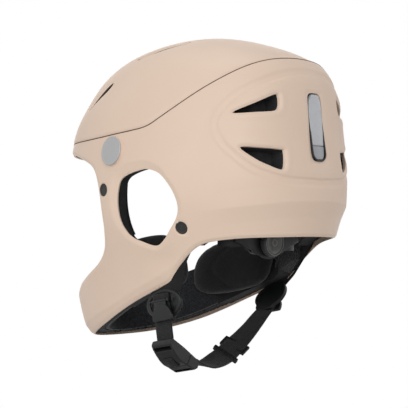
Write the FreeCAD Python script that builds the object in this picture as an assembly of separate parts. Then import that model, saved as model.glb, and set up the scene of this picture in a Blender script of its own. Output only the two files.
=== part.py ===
import FreeCAD, Part
import math
import os

V = FreeCAD.Vector

# Helmet in millimetres: +Z up, face port towards -Y, wearer's left +X.
# The origin is the centre of the head cavity on the symmetry plane.

# Outer skin
CROWN_HEIGHT = 142.8
FRONT_REACH = 185.0
REAR_REACH = 152.0
HALF_WIDTH = 114.5
SPAN = 100.0
RING_POINTS = 24
SHELL_T = 3.0
CROWN_PROUD = 0.8
LINER_CLEAR = 0.06
FIT_CLEAR = 0.3
OVERRUN = 40.0
SEAM_HALF = 0.45

# Head cavity
CAVITY_HEIGHT = 113.0
CAVITY_FRONT = 114.0
CAVITY_REAR = 106.0
CAVITY_HALF_WIDTH = 87.0

# Jaw linings
JAW_FOAM_DEPTH = 24.0
CHIN_FOAM_DEPTH = 20.0
CHIN_LINING_T = 3.7
JAW_RIM_STEP = 3.0
LINER_RIM_STEP = 6.0
EAR_WALL = 14.0
PAD_T = 9.0
CHEEK_PAD_T = 19.0

# Visor seats and plugs
SEAT_R = 14.5
SEAT_PROUD = 1.6
DISC_T = 1.2
DISC_EDGE = 0.4
SEAT_SCREW_R = 2.5
SEAT_SCREW_HEAD_R = 4.6
SEAT_SCREW_HEAD_T = 1.2
SEAT_SCREW_LEN = 16.0
PLUG_R = 6.2
PLUG_HOLE_R = 6.5
PLUG_SUNK = 0.9
PLUG_T = 2.2
BOLT_R = 2.5
BOLT_HEAD_R = 5.2
BOLT_HEAD_T = 1.6
BOLT_LEN = 9.0

# Rear light
LIGHT_W = 20.0
LIGHT_H = 66.0
LIGHT_Z = 23.0
LIGHT_FACE_Y = 149.0
LIGHT_DEPTH = 17.0
LIGHT_WALL = 1.4
LENS_T = 2.4
LENS_SUNK = 1.2
BUTTON_H = 15.0
BUTTON_TRAVEL = 0.7
BOARD_T = 1.6
LED_SIZE = 3.0
CELL_R = 5.0

# Fit dial and cradle
DIAL_Y = 72.0
DIAL_Z = -75.5
DIAL_R = 14.0
DIAL_T = 8.0
DIAL_LEAN_DEG = 12.0
PINION_R = 4.0
HOUSING_HALF_W = 25.0
HOUSING_H = 24.0
HOUSING_T = 8.0
HOUSING_WALL = 1.8
WING_T = 2.0
BAND_T = 1.6
BAND_H = 9.0
BAND_TRAVEL = 10.0

# Chin strap
WEB_W = 22.0
WEB_T = 1.8
WEB_Y = -1.5
UNDER_T = 1.2
STRAP_TAPER = 0.6
DIVIDER_X = 79.0
DIVIDER_T = 4.0
DIVIDER_Z = -124.0
DIVIDER_R = 15.0
DIVIDER_Y = 6.0
LEAN_X = 85.0
LEAN_Z = -110.0
LEAN_DEG = 36.0
CAM_R = 12.0
CAM_T = 3.0
CAM_Z = -133.0
CAM_PIN_R = 1.0
BUCKLE_START_X = 91.0
BUCKLE_START_Z = -161.0
BUCKLE_TURN_DEG = 144.5
BUCKLE_LEN = 43.0
BUCKLE_W = 26.0
BUCKLE_T = 10.0
BUCKLE_WALL = 1.6
KEY_LEN = 12.0
KEY_W = 11.0
KEY_TRAVEL = 1.5
SLIDER_LEN = 13.0
SLIDER_BAR = 3.0
SLIDER_T = 4.6
SLIDER_ROOM = 0.9
SLIDER_X = -12.0
SLIDER_Z = -168.0
KEEPER_X = 3.0
KEEPER_Z = -176.5
KEEPER_LEN = 4.0


def unit_basis(rows, share):
    """Weights of the control rows of a clamped cubic curve at a share of its length."""
    spans = rows - 3
    knots = [0] * 4 + [i / spans for i in range(1, spans)] + [1] * 4
    share = min(max(share, 0), 1 - 1e-9)
    basis = [1 if knots[i] <= share < knots[i + 1] else 0 for i in range(rows + 3)]
    for degree in range(1, 4):
        basis = [blend_basis(basis, knots, share, i, degree) for i in range(rows + 3 - degree)]
    return basis


def blend_basis(basis, knots, share, i, degree):
    """One step of the basis recursion."""
    left = knots[i + degree] - knots[i]
    right = knots[i + degree + 1] - knots[i + 1]
    total = 0
    if left:
        total += (share - knots[i]) / left * basis[i]
    if right:
        total += (knots[i + degree + 1] - share) / right * basis[i + 1]
    return total


def power(value, exponent):
    """Signed power used by the egg-shaped sections."""
    return math.copysign(abs(value) ** exponent, value)


class Egg:
    """Stack of horizontal egg-shaped sections blended into one smooth skin."""

    def __init__(self, height, front, rear, half_width, shares):
        self.rows = [
            [height * z, -front * f, rear * r, half_width * w, SPAN * y, nf, nr]
            for z, f, r, w, y, nf, nr in shares
        ]

    def section(self, z):
        """Front, rear, half width and shape of the section at a height."""
        low, high = 0, 1
        for _ in range(40):
            mid = (low + high) / 2
            weights = unit_basis(len(self.rows), mid)
            height = sum(w * row[0] for w, row in zip(weights, self.rows))
            if height > z:
                low = mid
            else:
                high = mid
        weights = unit_basis(len(self.rows), low)
        return [sum(w * row[k] for w, row in zip(weights, self.rows)) for k in range(1, 7)]

    def half_x(self, y, z, depth):
        """Distance of the skin from the symmetry plane, a depth below the surface."""
        front, rear, width, mid, nf, nr = self.section(z)
        reach = (mid - front if y < mid else rear - mid) - depth
        bend = nf if y < mid else nr
        share = max(1 - abs((y - mid) / reach) ** bend, 0)
        return (width - depth) * share ** (1 / bend)

    def around(self, turn, z, depth):
        """Point on the section at a turn from the front, a depth below the surface."""
        front, rear, width, mid, nf, nr = self.section(z)
        return ring_point(turn, z, front + depth, rear - depth, width - depth, mid, nf, nr, 1)

    def solid(self, depth):
        """Closed solid inside the skin, a depth below the surface."""
        swell = 1 / (2 / 3 + math.cos(2 * math.pi / RING_POINTS) / 3)
        rings = []
        for index, (z, front, rear, width, mid, nf, nr) in enumerate(self.rows):
            level = z - depth if index < 2 else z - depth * max(z, 0) / self.rows[0][0]
            inset = 0 if index == 0 else depth
            shape = (level, front + inset, rear - inset, width - inset, mid, nf, nr, swell)
            if index == 0:
                rings.append([V(0, mid, level)] * RING_POINTS)
            else:
                turns = [2 * math.pi * k / RING_POINTS for k in range(RING_POINTS)]
                rings.append([ring_point(turn, *shape) for turn in turns])
        return ring_solid(rings)


def ring_point(turn, z, front, rear, width, mid, nf, nr, swell):
    """Point of one egg-shaped ring."""
    ahead = math.cos(turn)
    bend = nf if ahead > 0 else nr
    reach = mid - front if ahead > 0 else rear - mid
    x = width * swell * power(math.sin(turn), 2 / bend)
    return V(x, mid - reach * swell * power(ahead, 2 / bend), z)


def is_point(ring):
    """True where every pole of a ring is the same point."""
    return all((point - ring[0]).Length < 1e-9 for point in ring)


def ring_solid(rings):
    """Smooth closed solid over a stack of rings of poles."""
    count = len(rings[0])
    rows = len(rings)
    poles = [[ring[i] for ring in rings] for i in range(count)]
    row_mults = [4] + [1] * (rows - 4) + [4]
    surface = Part.BSplineSurface()
    surface.buildFromPolesMultsKnots(
        poles, [1] * (count + 1), row_mults, list(range(count + 1)),
        list(range(rows - 2)), True, False, 3, 3)
    faces = [surface.toShape()]
    if not is_point(rings[0]):
        faces.append(Part.Face(Part.Wire(surface.vIso(0).toShape())))
    if not is_point(rings[-1]):
        faces.append(Part.Face(Part.Wire(surface.vIso(rows - 3).toShape())))
    shell = Part.Shell(faces)
    if len(faces) > 1:
        shell.sewShape()
    return outward(Part.Solid(shell))


SKIN_SHARES = [
    (1.000, 0.028, -0.034, 0.000, -0.05, 2.00, 2.00),
    (1.000, 0.290, 0.270, 0.330, -0.05, 2.00, 2.00),
    (0.885, 0.553, 0.560, 0.640, -0.05, 2.10, 2.20),
    (0.655, 0.697, 0.980, 0.822, -0.02, 2.20, 2.40),
    (0.360, 0.815, 1.005, 0.948, 0.00, 2.25, 2.35),
    (0.052, 0.872, 0.966, 1.000, 0.02, 2.20, 2.30),
    (-0.245, 0.912, 0.976, 1.002, 0.02, 2.10, 2.20),
    (-0.460, 0.967, 0.890, 0.892, 0.02, 2.05, 2.10),
    (-0.700, 0.998, 0.804, 0.788, 0.00, 2.10, 2.10),
    (-0.945, 0.956, 0.778, 0.772, 0.00, 2.10, 2.10),
    (-1.180, 0.850, 0.740, 0.772, 0.00, 2.10, 2.10),
]
CAVITY_SHARES = [
    (1.000, 0.020, -0.020, 0.000, -0.02, 2.00, 2.00),
    (1.000, 0.370, 0.400, 0.420, -0.02, 2.00, 2.00),
    (0.880, 0.740, 0.740, 0.740, -0.02, 2.10, 2.10),
    (0.600, 0.960, 0.970, 0.930, -0.01, 2.20, 2.20),
    (0.200, 1.010, 1.020, 1.000, 0.00, 2.20, 2.20),
    (-0.250, 1.010, 1.010, 1.000, 0.00, 2.10, 2.20),
    (-0.600, 1.120, 0.960, 0.900, 0.00, 2.00, 2.10),
    (-1.000, 1.290, 0.920, 0.830, 0.00, 2.00, 2.10),
    (-1.500, 1.290, 0.920, 0.830, 0.00, 2.00, 2.10),
]
SKIN = Egg(CROWN_HEIGHT, FRONT_REACH, REAR_REACH, HALF_WIDTH, SKIN_SHARES)
CAVITY = Egg(CAVITY_HEIGHT, CAVITY_FRONT, CAVITY_REAR, CAVITY_HALF_WIDTH, CAVITY_SHARES)

# Side-view outlines as (y, z) shares of SPAN
SEAM_SHARES = [
    (-2.30, 0.600), (-1.60, 0.600), (-1.16, 0.575), (-0.85, 0.530), (-0.48, 0.485),
    (-0.15, 0.460), (0.12, 0.445), (0.30, 0.450), (0.44, 0.495), (0.58, 0.550),
    (0.74, 0.620), (0.88, 0.685), (1.02, 0.750), (1.18, 0.830), (1.34, 0.910),
    (1.60, 1.000), (2.10, 1.150),
]
PORT_SHARES = [
    (-2.40, 0.500), (-1.50, 0.490), (-1.15, 0.460), (-0.92, 0.400), (-0.67, 0.290),
    (-0.54, 0.200), (-0.48, 0.080), (-0.455, -0.100), (-0.465, -0.300),
    (-0.50, -0.450), (-0.60, -0.610), (-0.79, -0.720), (-1.09, -0.795),
    (-1.40, -0.860), (-1.65, -0.920), (-2.40, -0.960),
]
RIM_SHARES = [
    (2.10, -0.800), (1.60, -0.800), (1.30, -0.795), (0.98, -0.760), (0.75, -0.750),
    (0.61, -0.765), (0.50, -0.810), (0.40, -0.870), (0.30, -0.945), (0.18, -1.040),
    (0.01, -1.085), (-0.37, -1.160), (-0.72, -1.240), (-1.02, -1.305), (-1.40, -1.360),
    (-1.75, -1.375), (-2.40, -1.375),
]
WINDOW_SHARES = [
    (0.25, 0.035), (0.38, -0.020), (0.46, -0.100), (0.525, -0.220), (0.55, -0.330),
    (0.535, -0.420), (0.48, -0.500), (0.38, -0.580), (0.27, -0.660), (0.15, -0.700),
    (0.00, -0.635), (-0.11, -0.570), (-0.18, -0.470), (-0.21, -0.360), (-0.205, -0.220),
    (-0.175, -0.100), (-0.12, -0.005), (-0.02, 0.030), (0.12, 0.042),
]
BEVEL_GROW = 1.18
BEVEL_DEPTH = 3.2
WINDOW_MID = (0.17, -0.32)
FRONT_SLIT_SHARES = [
    (-0.73, 0.860), (-0.44, 0.985), (-0.37, 1.050), (-0.45, 1.110), (-0.62, 1.010),
    (-0.74, 0.900),
]
TOP_SLIT_SHARES = [
    (0.66, -0.20), (0.62, -0.04), (0.54, 0.10), (0.42, 0.23), (0.36, 0.19),
    (0.46, 0.05), (0.52, -0.08), (0.55, -0.22),
]
UPPER_VENT_SHARES = [
    (0.79, 0.405), (0.62, 0.480), (0.45, 0.545), (0.42, 0.520), (0.43, 0.420),
    (0.48, 0.385), (0.62, 0.385),
]
LOWER_VENT_SHARES = [
    (0.77, 0.070), (0.60, 0.045), (0.45, 0.020), (0.41, 0.000), (0.42, -0.140),
    (0.46, -0.175), (0.56, -0.130), (0.67, -0.055),
]
GROOVE_SHARES = [
    (0.00, 0.765), (0.32, 0.735), (0.58, 0.655), (0.76, 0.555), (0.885, 0.375),
    (0.885, 0.170), (0.80, -0.010), (0.66, -0.165), (0.40, -0.270), (0.00, -0.300),
]
GROOVE_R = 6.5
GROOVE_DEPTH = 2.0
GROOVE_POLES = 36
TUBE_POLES = 8
REAR_SLIT_W = 46.0
REAR_SLIT_H = 3.6
REAR_SLIT_Z = 99.5
VENT_DEPTH = 16.0
DISC_AT = (-0.18, 0.295)
FRONT_PLUG_AT = (-0.37, -0.055)
REAR_PLUG_AT = (0.51, -0.585)


def scaled(shares, span=SPAN):
    """Outline points from their shares of a span."""
    return [(a * span, b * span) for a, b in shares]


def grown(points, mid, factor):
    """Outline grown about a middle point."""
    return [(mid[0] + (a - mid[0]) * factor, mid[1] + (b - mid[1]) * factor) for a, b in points]


def smooth_wire(points, closed, corner_points):
    """Wire through the points: a smooth run, then straight corners if any."""
    curve = Part.BSplineCurve()
    curve.interpolate(points, closed)
    edges = [curve.toShape()]
    chain = [points[-1]] + corner_points + [points[0]]
    if corner_points:
        edges += [Part.makeLine(a, b) for a, b in zip(chain, chain[1:])]
    return Part.Wire(edges)


def side_prism(points, x_from, x_to, corners=()):
    """Prism along X over a smooth side-view outline."""
    ring = [V(x_from, y, z) for y, z in points]
    ends = [V(x_from, y, z) for y, z in corners]
    wire = smooth_wire(ring, not ends, ends)
    return Part.Face(wire).extrude(V(x_to - x_from, 0, 0))


def poly_prism(points, place, along):
    """Prism over a straight-sided outline; place maps a point to space."""
    ring = [place(a, b) for a, b in points]
    return Part.Face(Part.makePolygon(ring + [ring[0]])).extrude(along)


def both_sides(shape):
    """The shape and its mirror image about the symmetry plane."""
    return [shape, shape.mirror(V(0, 0, 0), V(1, 0, 0))]


def above_seam(shift):
    """Everything above the crown seam, shifted up by a distance."""
    points = [(y, z + shift) for y, z in scaled(SEAM_SHARES)]
    top = CROWN_HEIGHT + OVERRUN
    corners = [(points[-1][0], top), (points[0][0], top)]
    return side_prism(points, -HALF_WIDTH - OVERRUN, HALF_WIDTH + OVERRUN, corners)


def below_rim(shift):
    """Everything below the neck rim, shifted up by a distance."""
    points = [(y, z + shift) for y, z in scaled(RIM_SHARES)]
    floor = -CROWN_HEIGHT * 1.6
    corners = [(points[-1][0], floor), (points[0][0], floor)]
    return side_prism(points, -HALF_WIDTH - OVERRUN, HALF_WIDTH + OVERRUN, corners)


def face_port(grow):
    """Eye opening, its edge moved back by a distance."""
    points = [(y + grow, z) for y, z in scaled(PORT_SHARES)]
    low, high = points[-1], points[0]
    corners = [(low[0] - OVERRUN, low[1]), (high[0] - OVERRUN, high[1])]
    return side_prism(points, -HALF_WIDTH - OVERRUN, HALF_WIDTH + OVERRUN, corners)


def ear_window(factor, x_from, x_to):
    """Ear opening on the left side, grown about its middle."""
    mid = scaled([WINDOW_MID])[0]
    return side_prism(grown(scaled(WINDOW_SHARES), mid, factor), x_from, x_to)


def window_bevel():
    """Sloping cut around the ear opening on the left side."""
    mid = scaled([WINDOW_MID])[0]
    inner = grown(scaled(WINDOW_SHARES), mid, 1)
    outer = grown(scaled(WINDOW_SHARES), mid, BEVEL_GROW)
    base = HALF_WIDTH - SHELL_T
    wires = []
    for points, x in ((inner, base - BEVEL_DEPTH), (outer, base + BEVEL_DEPTH)):
        wires.append(smooth_wire([V(x, y, z) for y, z in points], True, []))
    return Part.makeLoft(wires, True, False)


def pocket(depth_from, depth_to, prism):
    """Part of a prism between two depths below the outer skin."""
    return prism.common(SKIN.solid(depth_from)).cut(SKIN.solid(depth_to))


def rear_vents():
    """Four rear vent cutters."""
    start = REAR_REACH * 0.62
    along = V(0, REAR_REACH, 0)
    cuts = []
    for shares in (UPPER_VENT_SHARES, LOWER_VENT_SHARES):
        prism = poly_prism(scaled(shares), lambda x, z: V(x, start, z), along)
        cuts += both_sides(prism)
    return cuts


def rear_slit():
    """Exhaust slit cutter at the rear edge of the crown."""
    size = (REAR_SLIT_W, OVERRUN, REAR_SLIT_H)
    corner = V(-REAR_SLIT_W / 2, REAR_REACH * 0.72, REAR_SLIT_Z)
    return Part.makeBox(*size, corner)


def crown_slits():
    """Front and top vent cutters of the crown."""
    inner = HALF_WIDTH * 0.5
    front = poly_prism(scaled(FRONT_SLIT_SHARES), lambda y, z: V(inner, y, z), V(HALF_WIDTH, 0, 0))
    base = CROWN_HEIGHT * 0.78
    top = poly_prism(scaled(TOP_SLIT_SHARES), lambda x, y: V(x, y, base), V(0, 0, OVERRUN))
    return both_sides(front) + both_sides(top)


def groove_path():
    """Closed run of points a little outside the skin around the rear panel."""
    points = []
    lift = GROOVE_R - GROOVE_DEPTH
    for x, z in scaled(GROOVE_SHARES):
        front, rear, width, mid, nf, nr = SKIN.section(z)
        share = (1 - (x / width) ** nr) ** (1 / nr)
        points.append(V(x * (1 + lift / width), mid + (rear + lift - mid) * share, z))
    path = Part.BSplineCurve()
    path.interpolate(points + [V(-p.x, p.y, p.z) for p in points[-2:0:-1]], True)
    return path


def groove():
    """Soft groove around the rear panel, a closed tube sunk in the skin."""
    path = groove_path()
    first, last = path.FirstParameter, path.LastParameter
    poles = []
    for k in range(GROOVE_POLES):
        at = first + (last - first) * k / GROOVE_POLES
        centre = path.value(at)
        ahead = path.tangent(at)[0]
        side = ahead.cross(V(0, 1, 0)).normalize()
        out = side.cross(ahead)
        ring = []
        for i in range(TUBE_POLES):
            turn = 2 * math.pi * i / TUBE_POLES
            reach = GROOVE_R / (2 / 3 + math.cos(2 * math.pi / TUBE_POLES) / 3)
            ring.append(centre + side * (reach * math.cos(turn)) + out * (reach * math.sin(turn)))
        poles.append(ring)
    surface = Part.BSplineSurface()
    surface.buildFromPolesMultsKnots(
        poles, [1] * (GROOVE_POLES + 1), [1] * (TUBE_POLES + 1), list(range(GROOVE_POLES + 1)),
        list(range(TUBE_POLES + 1)), True, True, 3, 3)
    return outward(Part.Solid(Part.Shell([surface.toShape()])))


def outward(body):
    """The body with its faces looking outwards."""
    if body.Volume < 0:
        body.reverse()
    return body


def skin_frame(at):
    """Point on the left skin and the outward direction there."""
    y, z = at[0] * SPAN, at[1] * SPAN
    return V(SKIN.half_x(y, z, 0), y, z), skin_normal(y, z)


def skin_normal(y, z):
    """Outward direction of the left skin at a side-view point."""
    step = SPAN / 50
    slope_y = (SKIN.half_x(y + step, z, 0) - SKIN.half_x(y - step, z, 0)) / (2 * step)
    slope_z = (SKIN.half_x(y, z + step, 0) - SKIN.half_x(y, z - step, 0)) / (2 * step)
    normal = V(1, -slope_y, -slope_z)
    normal.normalize()
    return normal


def rod(radius, start, direction, length):
    """Cylinder from a point along a direction."""
    return Part.makeCylinder(radius, length, start, direction)


def plug_frames():
    """Points and outward directions of the two left plugs."""
    return [skin_frame(at) for at in (FRONT_PLUG_AT, REAR_PLUG_AT)]


def plug_holes():
    """Sunken round holes for the four plugs."""
    cuts = []
    for point, out in plug_frames():
        start = point - out * (PLUG_SUNK + PLUG_T + FIT_CLEAR)
        cuts += both_sides(rod(PLUG_HOLE_R, start, out, OVERRUN))
    return cuts


def light_box(clear, depth_extra):
    """Rounded upright block that the light tray fills."""
    width = LIGHT_W + 2 * clear
    height = LIGHT_H + 2 * clear
    depth = LIGHT_DEPTH + depth_extra
    corner = V(-width / 2, LIGHT_FACE_Y - LIGHT_DEPTH - clear, LIGHT_Z - height / 2)
    block = Part.makeBox(width, depth + clear, height, corner)
    upright = [e for e in block.Edges if abs(e.tangentAt(e.FirstParameter).y) > 0.9]
    return block.makeFillet(width * 0.42, upright)


def helmet_shells():
    """Lower shell, crown shell and the gasket between them."""
    inner = SKIN.solid(SHELL_T)
    crown_zone = above_seam(SEAM_HALF)
    lower = SKIN.solid(0).cut(inner).cut(above_seam(-SEAM_HALF))
    lower = lower.cut(face_port(0)).cut(below_rim(0))
    reach = HALF_WIDTH + OVERRUN
    window = ear_window(1, HALF_WIDTH * 0.3, reach)
    cuts = both_sides(window) + both_sides(window_bevel()) + rear_vents() + plug_holes()
    cuts += [light_box(FIT_CLEAR / 3, OVERRUN), groove()] + seat_screw_holes()
    for cut in cuts:
        lower = lower.cut(cut)
    crown = SKIN.solid(-CROWN_PROUD).cut(inner).common(crown_zone)
    for cut in crown_slits() + [rear_slit()]:
        crown = crown.cut(cut)
    band = above_seam(-SEAM_HALF).cut(crown_zone)
    gasket = outward(band.common(SKIN.solid(-CROWN_PROUD / 4)).cut(inner))
    return {"lower_shell": lower, "crown_shell": crown, "seam_gasket": gasket}


def strap_bands(widen):
    """Side-view bands of the front and rear straps that run under the shell."""
    half = WEB_W * 0.36 + widen
    front = [(FRONT_PLUG_AT[0] * SPAN, FRONT_PLUG_AT[1] * SPAN), (-0.40 * SPAN, -0.45 * SPAN),
             (-0.30 * SPAN, -0.75 * SPAN), (-0.06 * SPAN, -1.13 * SPAN)]
    rear = [(REAR_PLUG_AT[0] * SPAN, REAR_PLUG_AT[1] * SPAN), (0.50 * SPAN, -0.76 * SPAN),
            (0.32 * SPAN, -0.92 * SPAN), (0.05 * SPAN, -1.12 * SPAN)]
    return [band_outline(front, half), band_outline(rear, half)]


def band_outline(path, half):
    """Closed outline at a half width on both sides of a path."""
    left, right = [], []
    for k, (a, b) in enumerate(path):
        before = path[max(k - 1, 0)]
        after = path[min(k + 1, len(path) - 1)]
        run = math.hypot(after[0] - before[0], after[1] - before[1])
        reach = half * (STRAP_TAPER if k == len(path) - 1 else 1)
        side = ((after[1] - before[1]) / run * reach, -(after[0] - before[0]) / run * reach)
        left.append((a + side[0], b + side[1]))
        right.append((a - side[0], b - side[1]))
    return left + right[::-1]


def strap_prisms(widen):
    """Prisms over the two under-shell strap bands of the left side."""
    inner = HALF_WIDTH * 0.5
    along = V(HALF_WIDTH, 0, 0)
    return [poly_prism(b, lambda y, z: V(inner, y, z), along) for b in strap_bands(widen)]


def strap_channels():
    """Room for the under-shell straps in the foam, both sides."""
    depth = SHELL_T + FIT_CLEAR + UNDER_T + FIT_CLEAR
    cuts = []
    for prism in strap_prisms(FIT_CLEAR * 2):
        cuts += both_sides(pocket(SHELL_T / 2, depth, prism))
    return cuts


def bolt_room(extra):
    """Room for the plugs and the bolts behind them, both sides."""
    cuts = []
    for point, out in plug_frames():
        start = point - out * (PLUG_SUNK + PLUG_T + BOLT_LEN + extra)
        cuts += both_sides(rod(PLUG_HOLE_R, start, out, BOLT_LEN + PLUG_T + extra))
    return cuts


def largest(shape):
    """The biggest solid of a shape."""
    return max(shape.Solids, key=lambda solid: solid.Volume)


def foam_parts():
    """Energy-absorbing foam: main liner, jaw blocks and chin block."""
    outer = SKIN.solid(SHELL_T + LINER_CLEAR)
    reach = HALF_WIDTH + OVERRUN
    split = -0.505 * SPAN
    step = FIT_CLEAR / 2
    keep_main = Part.makeBox(2 * reach, 8 * OVERRUN, 8 * OVERRUN, V(-reach, -4 * OVERRUN, split))
    rear_low = Part.makeBox(2 * reach, 4 * OVERRUN, OVERRUN, V(-reach, 0.5 * SPAN, split - OVERRUN))
    mid = scaled([WINDOW_MID])[0]
    port = face_port(SHELL_T)
    window = ear_window(1.03, -reach, reach)
    half_room = HALF_WIDTH - SHELL_T - EAR_WALL
    ear_room = side_prism(grown(scaled(WINDOW_SHARES), mid, 1.35), -half_room, half_room)
    main = outer.common(keep_main.fuse(rear_low)).cut(CAVITY.solid(0))
    cuts = [port, window, ear_room, below_rim(LINER_RIM_STEP)]
    cuts += strap_channels() + bolt_room(FIT_CLEAR)
    cuts += [light_box(FIT_CLEAR, 0)]
    for prism in rear_vents() + [rear_slit()] + crown_slits():
        cuts.append(pocket(0, VENT_DEPTH, prism))
    cuts += seat_screw_holes()
    for cut in cuts:
        main = main.cut(cut)
    jaw_zone = Part.makeBox(reach, 0.83 * SPAN, SPAN, V(0, -0.63 * SPAN, split - SPAN - step))
    chin_zone = Part.makeBox(2 * reach, 4 * OVERRUN, SPAN, V(-reach, -0.63 * SPAN - 4 * OVERRUN - step, split - SPAN - step))
    jaw = pocket(SHELL_T + LINER_CLEAR, JAW_FOAM_DEPTH, jaw_zone)
    for cut in [port, window, ear_room, below_rim(JAW_RIM_STEP)] + strap_channels() + bolt_room(FIT_CLEAR):
        jaw = jaw.cut(cut)
    chin = pocket(SHELL_T + LINER_CLEAR, CHIN_FOAM_DEPTH, chin_zone)
    chin = chin.cut(port).cut(below_rim(JAW_RIM_STEP))
    lining = pocket(CHIN_FOAM_DEPTH + LINER_CLEAR, CHIN_FOAM_DEPTH + CHIN_LINING_T, chin_zone)
    lining = lining.cut(face_port(SHELL_T * 2)).cut(below_rim(JAW_RIM_STEP * 1.5))
    left, right = both_sides(largest(jaw))
    return {"main_liner": main, "jaw_block_left": left, "jaw_block_right": right,
            "chin_block": chin, "chin_lining": lining}


def seat_screw_holes():
    """Clearance holes behind the visor seats, both sides."""
    point, out = skin_frame(DISC_AT)
    length = SEAT_SCREW_LEN + OVERRUN
    start = point - out * (SEAT_SCREW_LEN - SEAT_PROUD + FIT_CLEAR)
    return both_sides(rod(SEAT_SCREW_R + FIT_CLEAR / 3, start, out, length))


def visor_seats():
    """Raised round visor seats, their cover discs and the screws between them."""
    point, out = skin_frame(DISC_AT)
    top = point + out * SEAT_PROUD
    boss = rod(SEAT_R, point - out * SHELL_T * 2, out, SHELL_T * 2 + SEAT_PROUD)
    boss = boss.cut(SKIN.solid(0))
    recess = rod(SEAT_SCREW_HEAD_R + FIT_CLEAR, top - out * (SEAT_SCREW_HEAD_T + FIT_CLEAR), out, OVERRUN)
    boss = boss.cut(recess).cut(seat_screw_holes()[0])
    disc = rod(SEAT_R, top, out, DISC_T)
    face_at = top + out * DISC_T
    rim = [e for e in disc.Edges if (e.CenterOfMass - face_at).Length < DISC_T / 4]
    disc = disc.makeChamfer(DISC_EDGE, rim)
    screw = rod(SEAT_SCREW_HEAD_R, top - out * SEAT_SCREW_HEAD_T, out, SEAT_SCREW_HEAD_T - FIT_CLEAR / 3)
    shank = rod(SEAT_SCREW_R, top - out * SEAT_SCREW_LEN, out, SEAT_SCREW_LEN - SEAT_SCREW_HEAD_T)
    screw = screw.fuse(shank)
    parts = {}
    for name, shape in (("visor_seat", boss), ("brow_disc", disc)):
        left, right = both_sides(shape)
        parts[name + "_left"] = left
        parts[name + "_right"] = right
    parts["seat_screws"] = Part.makeCompound(both_sides(screw))
    return parts


def plugs_and_bolts():
    """Round plugs in the shell and the strap bolts behind them."""
    plugs, bolts = [], []
    for point, out in plug_frames():
        back = point - out * (PLUG_SUNK + PLUG_T)
        plug = rod(PLUG_R, back, out, PLUG_T)
        dish = rod(PLUG_R * 0.7, back + out * (PLUG_T - PLUG_SUNK / 2), out, PLUG_T)
        plugs.append(both_sides(plug.cut(dish)))
        shank = rod(BOLT_R, back - out * BOLT_LEN, out, BOLT_LEN - FIT_CLEAR / 3)
        flange_at = point - out * (SHELL_T + FIT_CLEAR * 1.5 + UNDER_T + BOLT_HEAD_T)
        bolts += both_sides(shank.fuse(rod(BOLT_HEAD_R, flange_at, out, BOLT_HEAD_T)))
    return {"front_plugs": Part.makeCompound(plugs[0]), "rear_plugs": Part.makeCompound(plugs[1]),
            "strap_bolts": Part.makeCompound(bolts)}


def pill(width, height, depth, face_y, mid_z):
    """Upright plate with rounded ends, its face at a given depth."""
    block = Part.makeBox(width, depth, height, V(-width / 2, face_y - depth, mid_z - height / 2))
    upright = [e for e in block.Edges if abs(e.tangentAt(e.FirstParameter).y) > 0.9]
    return block.makeFillet(width * 0.4, upright)


def rear_light():
    """Rear light: tray, lens, press button, board, lamps and cell."""
    tray = light_box(0, 0)
    inner_w = LIGHT_W - 2 * LIGHT_WALL
    inner_h = LIGHT_H - 2 * LIGHT_WALL
    depth = LIGHT_DEPTH - LIGHT_WALL
    tray = tray.cut(pill(inner_w, inner_h, depth + OVERRUN, LIGHT_FACE_Y + OVERRUN, LIGHT_Z))
    clear = FIT_CLEAR / 2
    plate = pill(inner_w - clear, inner_h - clear, LENS_T, LIGHT_FACE_Y - LENS_SUNK, LIGHT_Z)
    cut_z = LIGHT_Z - LIGHT_H / 2 + BUTTON_H
    below = Part.makeBox(LIGHT_W, OVERRUN, LIGHT_H, V(-LIGHT_W / 2, LIGHT_FACE_Y - OVERRUN / 2, cut_z - LIGHT_H))
    gap_up = below.copy()
    gap_up.translate(V(0, 0, FIT_CLEAR / 2))
    gap_down = below.copy()
    gap_down.translate(V(0, 0, -FIT_CLEAR / 2))
    lens = plate.cut(gap_up)
    key = pill(inner_w - 2 * FIT_CLEAR, inner_h - 2 * FIT_CLEAR, LENS_T, LIGHT_FACE_Y - LENS_SUNK, LIGHT_Z)
    key = key.common(gap_down)
    board_y = LIGHT_FACE_Y - LENS_SUNK - LENS_T - BUTTON_TRAVEL - FIT_CLEAR
    board_h = inner_h - 4 * LIGHT_WALL
    board_w = inner_w * 0.8
    board = Part.makeBox(board_w, BOARD_T, board_h, V(-board_w / 2, board_y - BOARD_T, LIGHT_Z - board_h / 2))
    lamps = []
    for k in range(5):
        z = cut_z + LED_SIZE * 2 + k * LED_SIZE * 2.8
        lamps.append(Part.makeBox(LED_SIZE, BUTTON_TRAVEL, LED_SIZE, V(-LED_SIZE / 2, board_y, z)))
    cell_y = board_y - BOARD_T - CELL_R * 0.9 - FIT_CLEAR
    cell = rod(CELL_R * 0.9, V(0, cell_y, LIGHT_Z - LIGHT_H * 0.3), V(0, 0, 1), LIGHT_H * 0.6)
    return {"light_tray": tray, "light_lens": lens, "light_button": key, "light_board": board,
            "light_lamps": Part.makeCompound(lamps), "light_cell": cell}


def cradle_place(shape):
    """Move a shape from the dial's own frame to the nape."""
    shape.rotate(V(0, 0, 0), V(1, 0, 0), -DIAL_LEAN_DEG)
    shape.translate(V(0, DIAL_Y, DIAL_Z))
    return shape


WING_BEND_SHARES = [(0.0, -0.125), (0.8, -0.125), (1.44, -0.19), (1.84, -0.42), (2.08, -0.86), (2.32, -1.60)]
WING_SHARES = [
    (0.00, -0.69), (0.40, -0.60), (0.80, -0.40), (1.28, -0.20), (1.80, -0.02), (2.24, 0.15),
    (2.36, 0.34), (2.16, 0.52), (1.60, 0.55), (0.80, 0.54), (0.00, 0.52),
]


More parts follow.
